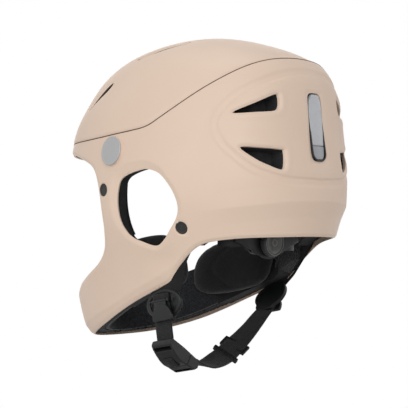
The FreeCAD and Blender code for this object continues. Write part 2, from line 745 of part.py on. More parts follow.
def cradle_wings():
    """Crescent plate that spreads from the dial round the nape, in the dial's own frame."""
    half = [(x * HOUSING_HALF_W, y * HOUSING_T) for x, y in WING_BEND_SHARES]
    bend = [V(-x, y, -HOUSING_H) for x, y in half[:0:-1]] + [V(x, y, -HOUSING_H) for x, y in half]
    plate = ribbon(bend, V(0, 0, 1), WING_T, 2 * HOUSING_H)
    side = [(x * HOUSING_HALF_W, z * HOUSING_H) for x, z in WING_SHARES]
    ring = side + [(-x, z) for x, z in side[-2:0:-1]]
    outline = smooth_wire([V(x, -OVERRUN, z) for x, z in ring], True, [])
    return plate.common(Part.Face(outline).extrude(V(0, 2 * OVERRUN, 0)))


def dial_housing():
    """Housing of the fit dial with side slots for the two bands."""
    body = Part.makeBox(2 * HOUSING_HALF_W, HOUSING_T, HOUSING_H, V(-HOUSING_HALF_W, -HOUSING_T, -HOUSING_H / 2))
    ends = [e for e in body.Edges if abs(e.tangentAt(e.FirstParameter).y) > 0.9]
    body = body.makeFillet(HOUSING_H * 0.4, ends).fuse(cradle_wings())
    room_y = BAND_T + 2 * FIT_CLEAR
    room_z = 2 * (PINION_R + BAND_H / 2 + 2 * FIT_CLEAR)
    mid_y = -HOUSING_T / 2
    slot = Part.makeBox(4 * HOUSING_HALF_W, room_y, room_z, V(-2 * HOUSING_HALF_W, mid_y - room_y / 2, -room_z / 2))
    well = rod(PINION_R + FIT_CLEAR * 2, V(0, mid_y - room_y, 0), V(0, 1, 0), HOUSING_T)
    return cradle_place(body.cut(slot).cut(well).cut(screw_shank()))


def fit_dial():
    """Ribbed knob with its pinion, turning on the housing."""
    knob = rod(DIAL_R, V(0, FIT_CLEAR, 0), V(0, 1, 0), DIAL_T)
    rim = [e for e in knob.Edges if e.Curve.TypeId == "Part::GeomCircle" and e.BoundBox.YMin > DIAL_T / 2]
    knob = knob.makeChamfer(DIAL_T * 0.2, rim)
    for k in range(16):
        turn = 2 * math.pi * k / 16
        notch = rod(DIAL_R * 0.07, V(DIAL_R * math.cos(turn), -FIT_CLEAR, DIAL_R * math.sin(turn)), V(0, 1, 0), OVERRUN)
        knob = knob.cut(notch)
    dish = rod(DIAL_R * 0.55, V(0, DIAL_T * 0.75, 0), V(0, 1, 0), OVERRUN)
    pinion_len = HOUSING_T / 2 + BAND_T / 2 + FIT_CLEAR
    pinion = rod(PINION_R, V(0, -pinion_len, 0), V(0, 1, 0), pinion_len + FIT_CLEAR * 2)
    bore = rod(PINION_R * 0.45, V(0, -HOUSING_T, 0), V(0, 1, 0), OVERRUN)
    return cradle_place(knob.cut(dish).fuse(pinion).cut(bore))


def screw_shank():
    """Shank of the dial screw, in the dial's own frame."""
    length = HOUSING_T * 0.9 + DIAL_T * 0.84
    return rod(PINION_R * 0.45 - FIT_CLEAR / 4, V(0, -HOUSING_T * 0.9, 0), V(0, 1, 0), length)


def dial_screw():
    """Screw that holds the dial on the housing."""
    head = rod(DIAL_R * 0.4, V(0, DIAL_T * 0.75 + FIT_CLEAR * 2, 0), V(0, 1, 0), DIAL_T * 0.12)
    return cradle_place(head.fuse(screw_shank()))


def fit_band():
    """Left band: rack over the pinion, widening and bending round the nape."""
    mid_y = -HOUSING_T / 2
    top = PINION_R + FIT_CLEAR / 4
    overlap = HOUSING_HALF_W * 0.7
    rack_h = BAND_H / 2
    rack_len = overlap + HOUSING_HALF_W + BAND_TRAVEL * 0.8
    rack = Part.makeBox(rack_len, BAND_T, rack_h, V(-overlap, mid_y - BAND_T / 2, top))
    start = rack_len - overlap - BAND_T
    bends = [(start, 0), (start + BAND_H * 1.1, -BAND_T), (start + BAND_H * 1.9, -BAND_T * 4.5),
             (start + BAND_H * 2.3, -BAND_T * 10)]
    width = rack_h + top + BAND_H / 2
    arm = ribbon([V(x, mid_y + y, -BAND_H / 2) for x, y in bends], V(0, 0, 1), BAND_T, width)
    return rack.fuse(arm)


def ribbon(points, across, thick, width):
    """Flat band of even thickness along points, spread across by its width."""
    path = Part.BSplineCurve()
    path.interpolate(points)
    first, last = path.FirstParameter, path.LastParameter
    sides = ([], [])
    count = 4 * len(points)
    for k in range(count + 1):
        at = first + (last - first) * k / count
        out = path.tangent(at)[0].cross(across).normalize() * (thick / 2)
        sides[0].append(path.value(at) + out)
        sides[1].append(path.value(at) - out)
    edges = []
    for run in sides:
        curve = Part.BSplineCurve()
        curve.interpolate(run)
        edges.append(curve.toShape())
    edges.append(Part.makeLine(sides[0][0], sides[1][0]))
    edges.append(Part.makeLine(sides[0][-1], sides[1][-1]))
    wire = Part.Wire(Part.__sortEdges__(edges))
    return Part.Face(wire).extrude(across * width)


def cradle():
    """Nape cradle: housing, dial, screw, two bands, hanger and pad."""
    left = fit_band()
    right = left.copy()
    right.rotate(V(0, -HOUSING_T / 2, 0), V(0, 1, 0), 180)
    top = V(0, DIAL_Y - HOUSING_T / 2, DIAL_Z + HOUSING_H * 0.57)
    hang = [top, top + V(0, HOUSING_T * 0.9, HOUSING_H * 0.7), V(0, CAVITY_REAR + BAND_T, top.z + HOUSING_H * 1.4)]
    width = HOUSING_HALF_W * 0.8
    arm = ribbon([p + V(-width / 2, 0, 0) for p in hang], V(1, 0, 0), BAND_T, width)
    arm = arm.common(CAVITY.solid(FIT_CLEAR / 5))
    rings = []
    for share, level in PAD_LEVELS:
        ring = []
        for i in range(PAD_POINTS):
            turn = 2 * math.pi * i / PAD_POINTS
            x = HOUSING_HALF_W * 1.05 * share * power(math.cos(turn), 0.6)
            z = HOUSING_H * 0.45 * share * power(math.sin(turn), 0.6)
            ring.append(V(x, -HOUSING_T - FIT_CLEAR / 5 - HOUSING_T * level, z))
        rings.append(ring)
    pad = cradle_place(ring_solid(rings))
    return {"dial_housing": dial_housing(), "fit_dial": fit_dial(), "dial_screw": dial_screw(),
            "fit_band_left": cradle_place(left), "fit_band_right": cradle_place(right),
            "cradle_hanger": arm, "nape_pad": pad}


PAD_POINTS = 20
PAD_LEVELS = [(0, 0), (0.75, 0), (0.98, 0.12), (1.04, 0.45), (0.98, 0.85), (0.70, 1.04), (0, 1.04)]


def wrapped_pad(egg, turn, turn_half, z, z_half, depth, thick, bend):
    """Crowned pad that follows an egg-shaped wall, its back on the wall."""
    rings = []
    for share, level in PAD_LEVELS:
        ring = []
        for i in range(PAD_POINTS):
            angle = 2 * math.pi * i / PAD_POINTS
            along = math.radians(turn + turn_half * share * power(math.cos(angle), bend))
            up = z + z_half * share * power(math.sin(angle), bend)
            ring.append(egg.around(along, up, depth + thick * level))
        rings.append(ring)
    return ring_solid(rings)


def crown_pad():
    """Crowned pad under the top of the cavity."""
    across, along = CAVITY_HALF_WIDTH * 0.42, CAVITY_FRONT * 0.46
    sag = CAVITY_HEIGHT * 0.085
    rings = []
    for share, level in PAD_LEVELS:
        ring = []
        for i in range(PAD_POINTS):
            angle = 2 * math.pi * i / PAD_POINTS
            x = across * share * power(math.cos(angle), 0.75)
            y = along * share * power(math.sin(angle), 0.75)
            spread = (x / across) ** 2 + (y / along) ** 2
            ring.append(V(x, y, CAVITY_HEIGHT - FIT_CLEAR - sag * spread - PAD_T * level * 0.9))
        rings.append(ring)
    return ring_solid(rings)


def pads():
    """Comfort pads in the cavity and cheek pads on the jaw blocks."""
    gap = FIT_CLEAR / 3
    parts = {"crown_pad": crown_pad()}
    parts["brow_pad"] = wrapped_pad(CAVITY, 0, 46, 0.71 * SPAN, 0.14 * SPAN, gap, PAD_T, 0.5)
    parts["rear_pad"] = wrapped_pad(CAVITY, 180, 40, 0.02 * SPAN, 0.20 * SPAN, gap, PAD_T, 0.5)
    side = wrapped_pad(CAVITY, 93, 24, 0.45 * SPAN, 0.16 * SPAN, gap, PAD_T, 0.5)
    cheek = wrapped_pad(SKIN, 77, 22, -0.82 * SPAN, 0.29 * SPAN, JAW_FOAM_DEPTH + gap, CHEEK_PAD_T, 0.7)
    for name, shape in (("side_pad", side), ("cheek_pad", cheek)):
        left, right = both_sides(shape)
        parts[name + "_left"] = left
        parts[name + "_right"] = right
    return parts


def under_straps():
    """Straps that run under the shell from the bolts to the dividers."""
    depth = SHELL_T + FIT_CLEAR
    parts = {}
    bolts = [rod(BOLT_R + FIT_CLEAR / 4, p - out * SPAN / 5, out, SPAN / 4) for p, out in plug_frames()]
    for name, prism, bolt in zip(("front_strap", "rear_strap"), strap_prisms(0), bolts):
        strap = outward(pocket(depth, depth + UNDER_T, prism)).cut(bolt)
        left, right = both_sides(strap)
        parts[name + "_left"] = left
        parts[name + "_right"] = right
    return parts


def divider():
    """Left strap divider: plate, locking lever and its pin."""
    middle = V(DIVIDER_X, DIVIDER_Y, DIVIDER_Z)
    along = V(1, 0, 0)
    plate = rod(DIVIDER_R, middle, along, DIVIDER_T)
    foot = Part.makeBox(DIVIDER_T, WEB_W * 1.1, DIVIDER_R * 1.8, V(DIVIDER_X, WEB_Y - WEB_W * 0.55, DIVIDER_Z - DIVIDER_R * 1.3))
    foot = foot.makeFillet(WEB_W * 0.3, [e for e in foot.Edges if abs(e.tangentAt(e.FirstParameter).x) > 0.9])
    plate = plate.fuse(foot)
    cam_x = DIVIDER_X + DIVIDER_T + WEB_T + 3 * FIT_CLEAR
    cam = rod(CAM_R, V(cam_x, WEB_Y, CAM_Z), along, CAM_T)
    barrel_z = CAM_Z + CAM_R
    barrel = rod(CAM_T * 0.45, V(cam_x + CAM_T / 2, WEB_Y - CAM_R * 0.8, barrel_z), V(0, 1, 0), CAM_R * 1.6)
    cam = cam.fuse(barrel)
    dish = rod(CAM_R * 0.8, V(cam_x + CAM_T * 0.85, WEB_Y, CAM_Z), along, CAM_T)
    bore = rod(CAM_PIN_R + FIT_CLEAR / 6, V(cam_x + CAM_T / 2, WEB_Y - WEB_W, barrel_z), V(0, 1, 0), 2 * WEB_W)
    cam = cam.cut(dish).cut(bore)
    pin = rod(CAM_PIN_R, V(cam_x + CAM_T / 2, WEB_Y - WEB_W * 0.6, barrel_z), V(0, 1, 0), WEB_W * 1.2)
    ears = []
    for side in (-1, 1):
        y = WEB_Y + side * WEB_W * 0.56
        ear = Part.makeBox(cam_x + CAM_T - DIVIDER_X - DIVIDER_T / 2, SLIDER_BAR * 0.6, CAM_T,
                           V(DIVIDER_X + DIVIDER_T / 2, y - SLIDER_BAR * 0.3, barrel_z - CAM_T / 2))
        ears.append(ear)
    plate = plate.multiFuse(ears).cut(pin)
    return plate, cam, pin


def place_buckle(shape):
    """Move a shape from the buckle's own frame to the strap."""
    shape.rotate(V(0, 0, 0), V(0, 1, 0), BUCKLE_TURN_DEG)
    shape.translate(V(BUCKLE_START_X, WEB_Y, BUCKLE_START_Z))
    return shape


def buckle():
    """Buckle: body with the press key, tongue, and the key itself."""
    half = BUCKLE_W / 2
    body_len = BUCKLE_LEN * 0.68
    outline = [(0, -0.26), (0.05, -0.42), (0.60, -0.46), (1.00, -0.42), (1.00, 0.42),
               (0.80, 0.53), (0.55, 0.60), (0.32, 0.58), (0.14, 0.46), (0.03, 0.26), (0, 0.08)]
    body = poly_prism([(a * body_len, b * BUCKLE_T) for a, b in outline],
                      lambda s, h: V(s, -half, h), V(0, BUCKLE_W, 0))
    slot_at = BUCKLE_LEN * 0.07
    slot = Part.makeBox(WEB_T * 2.2, WEB_W + FIT_CLEAR * 2, OVERRUN, V(slot_at, -WEB_W / 2 - FIT_CLEAR, -OVERRUN / 2))
    room_start = BUCKLE_LEN * 0.22
    room = Part.makeBox(BUCKLE_LEN, BUCKLE_W - 4 * BUCKLE_WALL, BUCKLE_T * 0.42,
                        V(room_start, -half + 2 * BUCKLE_WALL, -BUCKLE_T * 0.21))
    key_start = BUCKLE_LEN * 0.34
    window = Part.makeBox(KEY_LEN + 2 * FIT_CLEAR, KEY_W + 2 * FIT_CLEAR, OVERRUN,
                          V(key_start - FIT_CLEAR, -KEY_W / 2 - FIT_CLEAR, 0))
    body = body.cut(slot).cut(room).cut(window)
    tongue_start = BUCKLE_LEN * 0.36
    blade = Part.makeBox(body_len - tongue_start, BUCKLE_W - 4 * BUCKLE_WALL - 2 * FIT_CLEAR, BUCKLE_T * 0.2,
                         V(tongue_start, -half + 2 * BUCKLE_WALL + FIT_CLEAR, -BUCKLE_T * 0.19))
    grip_start = body_len + FIT_CLEAR
    grip_len = BUCKLE_LEN - grip_start
    grip_outline = [(0, -0.42), (0.70, -0.36), (1.00, -0.16), (1.00, 0.14), (0.70, 0.32), (0, 0.42)]
    grip = poly_prism([(grip_start + a * grip_len, b * BUCKLE_T) for a, b in grip_outline],
                      lambda s, h: V(s, -half, h), V(0, BUCKLE_W, 0))
    neck = Part.makeBox(FIT_CLEAR * 3, BUCKLE_W - 4 * BUCKLE_WALL - 2 * FIT_CLEAR, BUCKLE_T * 0.2,
                        V(body_len - FIT_CLEAR, -half + 2 * BUCKLE_WALL + FIT_CLEAR, -BUCKLE_T * 0.19))
    web_slot = Part.makeBox(WEB_T * 2.2, WEB_W + FIT_CLEAR * 2, OVERRUN,
                            V(BUCKLE_LEN - WEB_T * 4, -WEB_W / 2 - FIT_CLEAR, -OVERRUN / 2))
    tongue = blade.fuse(grip).fuse(neck).cut(web_slot)
    key_bottom = -BUCKLE_T * 0.19 + BUCKLE_T * 0.2 + KEY_TRAVEL + FIT_CLEAR
    key_top = BUCKLE_T * 0.6 + WEB_T * 0.2
    key = Part.makeBox(KEY_LEN, KEY_W, key_top - key_bottom, V(key_start, -KEY_W / 2, key_bottom))
    return {"buckle_body": place_buckle(body), "buckle_tongue": place_buckle(tongue), "buckle_key": place_buckle(key)}


def lean_right(thing):
    """Swing a point or shape of the right divider inwards about its hanging point."""
    centre = V(-LEAN_X, WEB_Y, LEAN_Z)
    if isinstance(thing, V):
        turn = FreeCAD.Rotation(V(0, 1, 0), -LEAN_DEG)
        return centre + turn.multVec(thing - centre)
    thing.rotate(centre, V(0, 1, 0), -LEAN_DEG)
    return thing


def web(points):
    """Flat webbing along (x, z) points, centred on the strap plane."""
    start = WEB_Y - WEB_W / 2
    return ribbon([V(x, start, z) for x, z in points], V(0, 1, 0), WEB_T, WEB_W)


def on_path(shape, path, near):
    """Turn and move a shape onto a path at its point nearest to a given one."""
    at = path.parameter(near)
    ahead = path.tangent(at)[0]
    shape.rotate(V(0, 0, 0), V(0, 1, 0), math.degrees(math.atan2(-ahead.z, ahead.x)))
    shape.translate(path.value(at))
    return shape


def chin_straps():
    """Chin webbing, dividers, slider and buckle."""
    plate, cam, pin = divider()
    web_x = DIVIDER_X + DIVIDER_T + WEB_T / 2 + FIT_CLEAR
    low_x, low_z = BUCKLE_START_X, BUCKLE_START_Z
    left_top = DIVIDER_Z + DIVIDER_R * 0.66
    left = [(web_x, left_top), (web_x, DIVIDER_Z), (web_x, DIVIDER_Z - DIVIDER_R * 0.8), (web_x + WEB_T * 0.3, (DIVIDER_Z + low_z) / 2 - DIVIDER_R * 0.4),
            (low_x - BUCKLE_LEN * 0.144, low_z + BUCKLE_T * 0.22), (low_x - BUCKLE_LEN * 0.098, low_z - BUCKLE_T * 0.34)]
    right = [(a * SPAN, b * SPAN) for a, b in RIGHT_WEB_SHARES]
    for z in (DIVIDER_Z - DIVIDER_R * 1.3, DIVIDER_Z - DIVIDER_R * 0.33, left_top):
        end = lean_right(V(-web_x, 0, z))
        right.append((end.x, end.z))
    frame = Part.makeBox(SLIDER_LEN, WEB_W + 2 * SLIDER_BAR, SLIDER_T, V(-SLIDER_LEN / 2, -WEB_W / 2 - SLIDER_BAR, -SLIDER_T / 2))
    hole = Part.makeBox(SLIDER_LEN - 2 * SLIDER_BAR, WEB_W + FIT_CLEAR, SLIDER_T * 3, V(-SLIDER_LEN / 2 + SLIDER_BAR, -WEB_W / 2 - FIT_CLEAR / 2, -SLIDER_T * 1.5))
    slit_t = WEB_T + SLIDER_ROOM
    slit = Part.makeBox(SLIDER_LEN * 2, WEB_W + FIT_CLEAR, slit_t, V(-SLIDER_LEN, -WEB_W / 2 - FIT_CLEAR / 2, -slit_t / 2))
    bar = Part.makeBox(SLIDER_BAR, WEB_W + SLIDER_BAR, SLIDER_T * 0.3, V(-SLIDER_BAR / 2, -WEB_W / 2 - SLIDER_BAR / 2, SLIDER_T / 2 - SLIDER_T * 0.3))
    slider = frame.cut(hole).fuse(bar).cut(slit)
    loop_w = WEB_W + 2 * SLIDER_BAR
    keeper = Part.makeBox(KEEPER_LEN, loop_w, SLIDER_T, V(-KEEPER_LEN / 2, -loop_w / 2, -SLIDER_T / 2)).cut(slit)
    path = Part.BSplineCurve()
    path.interpolate([V(x, WEB_Y, z) for x, z in right])
    slider = on_path(slider, path, V(SLIDER_X, WEB_Y, SLIDER_Z))
    keeper = on_path(keeper, path, V(KEEPER_X, WEB_Y, KEEPER_Z))
    parts = {"web_left": web(left), "web_right": web(right), "strap_slider": slider, "strap_keeper": keeper}
    for name, shape in (("divider_plate", plate), ("divider_cam", cam)):
        one, two = both_sides(shape)
        parts[name + "_left"] = one
        parts[name + "_right"] = lean_right(two)
    one, two = both_sides(pin)
    parts["divider_pins"] = Part.makeCompound([one, lean_right(two)])
    parts.update(buckle())
    return parts


RIGHT_WEB_SHARES = [
    (0.607, -1.836), (0.590, -1.814), (0.555, -1.806), (0.505, -1.826), (0.42, -1.852), (0.30, -1.852),
    (0.16, -1.815), (0.03, -1.765), (-0.10, -1.692), (-0.25, -1.605), (-0.42, -1.500),
]


def all_parts():
    """Every piece of the helmet by name."""
    parts = {}
    for group in (helmet_shells, foam_parts, visor_seats, plugs_and_bolts, rear_light, cradle,
                  pads, under_straps, chin_straps):
        parts.update(group())
    return parts


if __name__ == "__main__":
    os.makedirs("parts", exist_ok=True)
    for name, shape in all_parts().items():
        shape.exportStep("parts/" + name + ".step")
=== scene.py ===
import bpy
import bmesh
import math
import numpy as np
from mathutils import Matrix, Vector
from mathutils.kdtree import KDTree


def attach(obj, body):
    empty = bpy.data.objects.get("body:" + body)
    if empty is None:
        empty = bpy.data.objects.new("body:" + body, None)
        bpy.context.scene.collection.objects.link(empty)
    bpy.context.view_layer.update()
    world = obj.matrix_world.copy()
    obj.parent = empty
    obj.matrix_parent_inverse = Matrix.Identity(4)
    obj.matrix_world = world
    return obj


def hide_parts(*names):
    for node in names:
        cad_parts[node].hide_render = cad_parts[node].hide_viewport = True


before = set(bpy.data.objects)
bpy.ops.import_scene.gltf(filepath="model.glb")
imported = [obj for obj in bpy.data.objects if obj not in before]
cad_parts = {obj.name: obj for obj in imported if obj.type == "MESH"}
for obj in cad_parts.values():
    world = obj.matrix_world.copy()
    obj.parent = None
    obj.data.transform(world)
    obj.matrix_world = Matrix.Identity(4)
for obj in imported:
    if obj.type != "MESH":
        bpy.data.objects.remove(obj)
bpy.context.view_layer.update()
MM = 0.001
SPAN = 100.0


# Camera
def make_camera():
    """Camera at the photograph's viewing angle, fitted in pixels of the 408 frame."""
    data = bpy.data.cameras.new("camera")
    cam = bpy.data.objects.new("camera", data)
    bpy.context.scene.collection.objects.link(cam)
    az, el, roll = (math.radians(a) for a in CAM_TURNS)
    back = Vector((math.sin(az) * math.cos(el), -math.cos(az) * math.cos(el), math.sin(el)))
    right = Vector((math.cos(az), math.sin(az), 0))
    up = back.cross(right)
    right, up = (right * math.cos(roll) + up * math.sin(roll),
                 up * math.cos(roll) - right * math.sin(roll))
    place = back * CAM_DISTANCE
    ahead = -back + right * (204 - CAM_CENTRE[0]) / CAM_FOCAL - up * (204 - CAM_CENTRE[1]) / CAM_FOCAL
    back = -ahead.normalized()
    right = up.cross(back).normalized()
    up = back.cross(right)
    turn = Matrix((right, up, back)).transposed().to_4x4()
    cam.matrix_world = Matrix.Translation(place) @ turn
    data.sensor_width = 36
    data.lens = CAM_FOCAL / 408 * 36
    data.clip_end = 50
    bpy.context.scene.camera = cam


CAM_TURNS = (132.996, -8.623, -6.848)
CAM_DISTANCE = 1.680
CAM_CENTRE = (207.75, 180.47)
CAM_FOCAL = 1656.0
make_camera()

# Shape tables, as in the part's source
SKIN_ROWS = [
    (1.000, 0.028, -0.034, 0.000, -0.05, 2.00, 2.00),
    (1.000, 0.290, 0.270, 0.330, -0.05, 2.00, 2.00),
    (0.885, 0.553, 0.560, 0.640, -0.05, 2.10, 2.20),
    (0.655, 0.697, 0.980, 0.822, -0.02, 2.20, 2.40),
    (0.360, 0.815, 1.005, 0.948, 0.00, 2.25, 2.35),
    (0.052, 0.872, 0.966, 1.000, 0.02, 2.20, 2.30),
    (-0.245, 0.912, 0.976, 1.002, 0.02, 2.10, 2.20),
    (-0.460, 0.967, 0.890, 0.892, 0.02, 2.05, 2.10),
    (-0.700, 0.998, 0.804, 0.788, 0.00, 2.10, 2.10),
    (-0.945, 0.956, 0.778, 0.772, 0.00, 2.10, 2.10),
    (-1.180, 0.850, 0.740, 0.772, 0.00, 2.10, 2.10),
]
CAVITY_ROWS = [
    (1.000, 0.020, -0.020, 0.000, -0.02, 2.00, 2.00),
    (1.000, 0.370, 0.400, 0.420, -0.02, 2.00, 2.00),
    (0.880, 0.740, 0.740, 0.740, -0.02, 2.10, 2.10),
    (0.600, 0.960, 0.970, 0.930, -0.01, 2.20, 2.20),
    (0.200, 1.010, 1.020, 1.000, 0.00, 2.20, 2.20),
    (-0.250, 1.010, 1.010, 1.000, 0.00, 2.10, 2.20),
    (-0.600, 1.120, 0.960, 0.900, 0.00, 2.00, 2.10),
    (-1.000, 1.290, 0.920, 0.830, 0.00, 2.00, 2.10),
    (-1.500, 1.290, 0.920, 0.830, 0.00, 2.00, 2.10),
]
SEAM = [(-2.30, 0.600), (-1.60, 0.600), (-1.16, 0.575), (-0.85, 0.530), (-0.48, 0.485),
        (-0.15, 0.460), (0.12, 0.445), (0.30, 0.450), (0.44, 0.495), (0.58, 0.550),
        (0.74, 0.620), (0.88, 0.685), (1.02, 0.750), (1.18, 0.830), (1.34, 0.910),
        (1.60, 1.000), (2.10, 1.150)]
PORT = [(-2.40, 0.500), (-1.50, 0.490), (-1.15, 0.460), (-0.92, 0.400), (-0.67, 0.290),
        (-0.54, 0.200), (-0.48, 0.080), (-0.455, -0.100), (-0.465, -0.300),
        (-0.50, -0.450), (-0.60, -0.610), (-0.79, -0.720), (-1.09, -0.795),
        (-1.40, -0.860), (-1.65, -0.920), (-2.40, -0.960)]
RIM = [(2.10, -0.800), (1.60, -0.800), (1.30, -0.795), (0.98, -0.760), (0.75, -0.750),
       (0.61, -0.765), (0.50, -0.810), (0.40, -0.870), (0.30, -0.945), (0.18, -1.040),
       (0.01, -1.085), (-0.37, -1.160), (-0.72, -1.240), (-1.02, -1.305), (-1.40, -1.360),
       (-1.75, -1.375), (-2.40, -1.375)]
WINDOW = [(0.25, 0.035), (0.38, -0.020), (0.46, -0.100), (0.525, -0.220), (0.55, -0.330),
          (0.535, -0.420), (0.48, -0.500), (0.38, -0.580), (0.27, -0.660), (0.15, -0.700),
          (0.00, -0.635), (-0.11, -0.570), (-0.18, -0.470), (-0.21, -0.360), (-0.205, -0.220),
          (-0.175, -0.100), (-0.12, -0.005), (-0.02, 0.030), (0.12, 0.042)]
FRONT_HOLLOW = [(-0.73, 0.860), (-0.44, 0.985), (-0.37, 1.050), (-0.45, 1.110),
                (-0.62, 1.010), (-0.74, 0.900)]
FRONT_SLIT = [(-0.73, 0.860), (-0.44, 0.985), (-0.37, 1.050), (-0.43, 1.046),
              (-0.62, 0.948), (-0.735, 0.880)]
TOP_SLIT = [(0.68, -0.14), (0.655, 0.05), (0.61, 0.20), (0.55, 0.33), (0.48, 0.43),
            (0.43, 0.39), (0.49, 0.27), (0.54, 0.14), (0.58, 0.00), (0.60, -0.13)]
UPPER_VENT = [(0.79, 0.405), (0.62, 0.480), (0.45, 0.545), (0.42, 0.520), (0.43, 0.420),
              (0.48, 0.385), (0.62, 0.385)]
LOWER_VENT = [(0.77, 0.070), (0.60, 0.045), (0.45, 0.020), (0.41, 0.000), (0.42, -0.140), (0.46, -0.175),
              (0.56, -0.130), (0.67, -0.055)]
GROOVE = [(0.00, 0.765), (0.32, 0.735), (0.58, 0.655), (0.76, 0.555), (0.885, 0.375), (0.885, 0.170),
          (0.80, -0.010), (0.66, -0.165), (0.40, -0.270), (0.00, -0.300)]
CHAMFER = [(-2.0, -1.275), (-1.60, -1.265), (-1.36, -1.240), (-0.82, -1.175),
           (-0.35, -1.075), (-0.03, -1.005), (0.14, -0.965), (0.30, -0.90),
           (0.45, -0.83), (0.60, -0.765), (0.8, -0.75)]
RING_POINTS = 24


def power(value, exponent):
    return np.sign(value) * np.abs(value) ** exponent


def clamped_basis(rows, share):
    """Weights of the control rows of a clamped cubic at many shares."""
    spans = rows - 3
    knots = np.concatenate([np.zeros(4), np.arange(1, spans) / spans, np.ones(4)])
    share = np.clip(np.asarray(share, float), 0, 1 - 1e-9)[:, None]
    basis = ((knots[:-1] <= share) & (share < knots[1:])).astype(float)
    for degree in range(1, 4):
        count = rows + 3 - degree
        left = knots[degree:degree + count] - knots[:count]
        right = knots[degree + 1:degree + 1 + count] - knots[1:1 + count]
        up = np.where(left > 0, (share - knots[:count]) / np.where(left > 0, left, 1), 0)
        above = knots[degree + 1:degree + 1 + count]
        down = np.where(right > 0, (above - share) / np.where(right > 0, right, 1), 0)
        basis = up * basis[:, :count] + down * basis[:, 1:1 + count]
    return basis


def ring_basis(count, at):
    """Weights of the poles of a closed uniform cubic ring."""
    weights = np.zeros((len(at), count))
    base = np.floor(at).astype(int)
    f = at - base
    parts = [(1 - f) ** 3 / 6, (3 * f ** 3 - 6 * f ** 2 + 4) / 6,
             (-3 * f ** 3 + 3 * f ** 2 + 3 * f + 1) / 6, f ** 3 / 6]
    for k, part in enumerate(parts):
        np.add.at(weights, (np.arange(len(at)), (base - 1 + k) % count), part)
    return weights


class Egg:
    """The part's stack of egg-shaped sections, in millimetres."""

    def __init__(self, height, front, rear, width, shares):
        self.rows = np.array([[height * z, -front * f, rear * r, width * w, SPAN * y, a, b]
                              for z, f, r, w, y, a, b in shares])
        self.table = clamped_basis(len(self.rows), np.linspace(0, 1, 900)) @ self.rows
        self.table = self.table[::-1]

    def section(self, z):
        return [np.interp(z, self.table[:, 0], self.table[:, k]) for k in range(1, 7)]

    def half_x(self, y, z, depth=0):
        front, rear, width, mid, nf, nr = self.section(z)
        ahead = y < mid
        reach = np.where(ahead, mid - front, rear - mid) - depth
        bend = np.where(ahead, nf, nr)
        share = np.maximum(1 - np.abs((y - mid) / reach) ** bend, 0)
        return (width - depth) * share ** (1 / bend)

    def rear_y(self, x, z, depth=0):
        front, rear, width, mid, nf, nr = self.section(z)
        share = np.maximum(1 - np.abs(x / (width - depth)) ** nr, 0)
        return mid + (rear - depth - mid) * share ** (1 / nr)

    def around(self, turn, z, depth):
        front, rear, width, mid, nf, nr = self.section(z)
        ahead = np.cos(turn)
        bend = np.where(ahead > 0, nf, nr)
        reach = np.where(ahead > 0, mid - front, rear - mid) - depth
        x = (width - depth) * power(np.sin(turn), 2 / bend)
        return np.stack([x, mid - reach * power(ahead, 2 / bend), np.broadcast_to(z, x.shape)], -1)

    def grid(self, depth, count, levels):
        """Points of the smooth skin, levels x count x 3."""
        swell = 1 / (2 / 3 + math.cos(2 * math.pi / RING_POINTS) / 3)
        turn = np.arange(RING_POINTS) * 2 * math.pi / RING_POINTS
        rings = []
        for k, (z, front, rear, width, mid, nf, nr) in enumerate(self.rows):
            level = z - depth if k < 2 else z - depth * max(z, 0) / self.rows[0][0]
            if k == 0:
                rings.append(np.tile([0, mid, level], (RING_POINTS, 1)))
                continue
            ahead = np.cos(turn)
            bend = np.where(ahead > 0, nf, nr)
            reach = np.where(ahead > 0, mid - front, rear - mid) - depth
            x = (width - depth) * swell * power(np.sin(turn), 2 / bend)
            y = mid - reach * swell * power(ahead, 2 / bend)
            rings.append(np.stack([x, y, np.full(RING_POINTS, level)], 1))
        rows = clamped_basis(len(self.rows), levels)
        ring = ring_basis(RING_POINTS, np.arange(count) / count * RING_POINTS)
        return np.einsum("vm,mnk,un->vuk", rows, np.array(rings), ring)


SKIN = Egg(142.8, 185.0, 152.0, 114.5, SKIN_ROWS)
CAVITY = Egg(113.0, 114.0, 106.0, 87.0, CAVITY_ROWS)


def smooth(points, closed, steps=8):
    """Rounded run through outline points given in shares of the span."""
    p = np.array(points, float) * SPAN
    n = len(p)
    out = []
    for i in range(n if closed else n - 1):
        a, b, c, d = (p[(i + k) % n] if closed else p[min(max(i + k, 0), n - 1)] for k in (-1, 0, 1, 2))
        for s in range(steps):
            t = s / steps
            out.append(0.5 * (2 * b + (c - a) * t + (2 * a - 5 * b + 4 * c - d) * t * t
                              + (3 * b - 3 * c + d - a) * t ** 3))
    if not closed:
        out.append(p[-1])
    return np.array(out)


def away(points, line, closed, reach=14.0):
    """Distance of each point from a run of points, worked out where it is under the reach."""
    a = line
    b = np.roll(line, -1, 0)
    if not closed:
        a, b = a[:-1], b[:-1]
    best = np.full(len(points), 99.0)
    near = np.all((points > line.min(0) - reach) & (points < line.max(0) + reach), axis=1)
    index = np.nonzero(near)[0]
    for k in range(0, len(a), 12):
        run = slice(k, k + 12)
        low = np.minimum(a[run].min(0), b[run].min(0)) - reach
        high = np.maximum(a[run].max(0), b[run].max(0)) + reach
        some = index[np.all((points[index] > low) & (points[index] < high), axis=1)]
        if not len(some):
            continue
        spots = points[some]
        part = best[some]
        for p, q in zip(a[run], b[run]):
            ab = q - p
            t = np.clip(((spots - p) @ ab) / max(ab @ ab, 1e-12), 0, 1)
            part = np.minimum(part, np.linalg.norm(spots - p - t[:, None] * ab, axis=1))
        best[some] = part
    return best


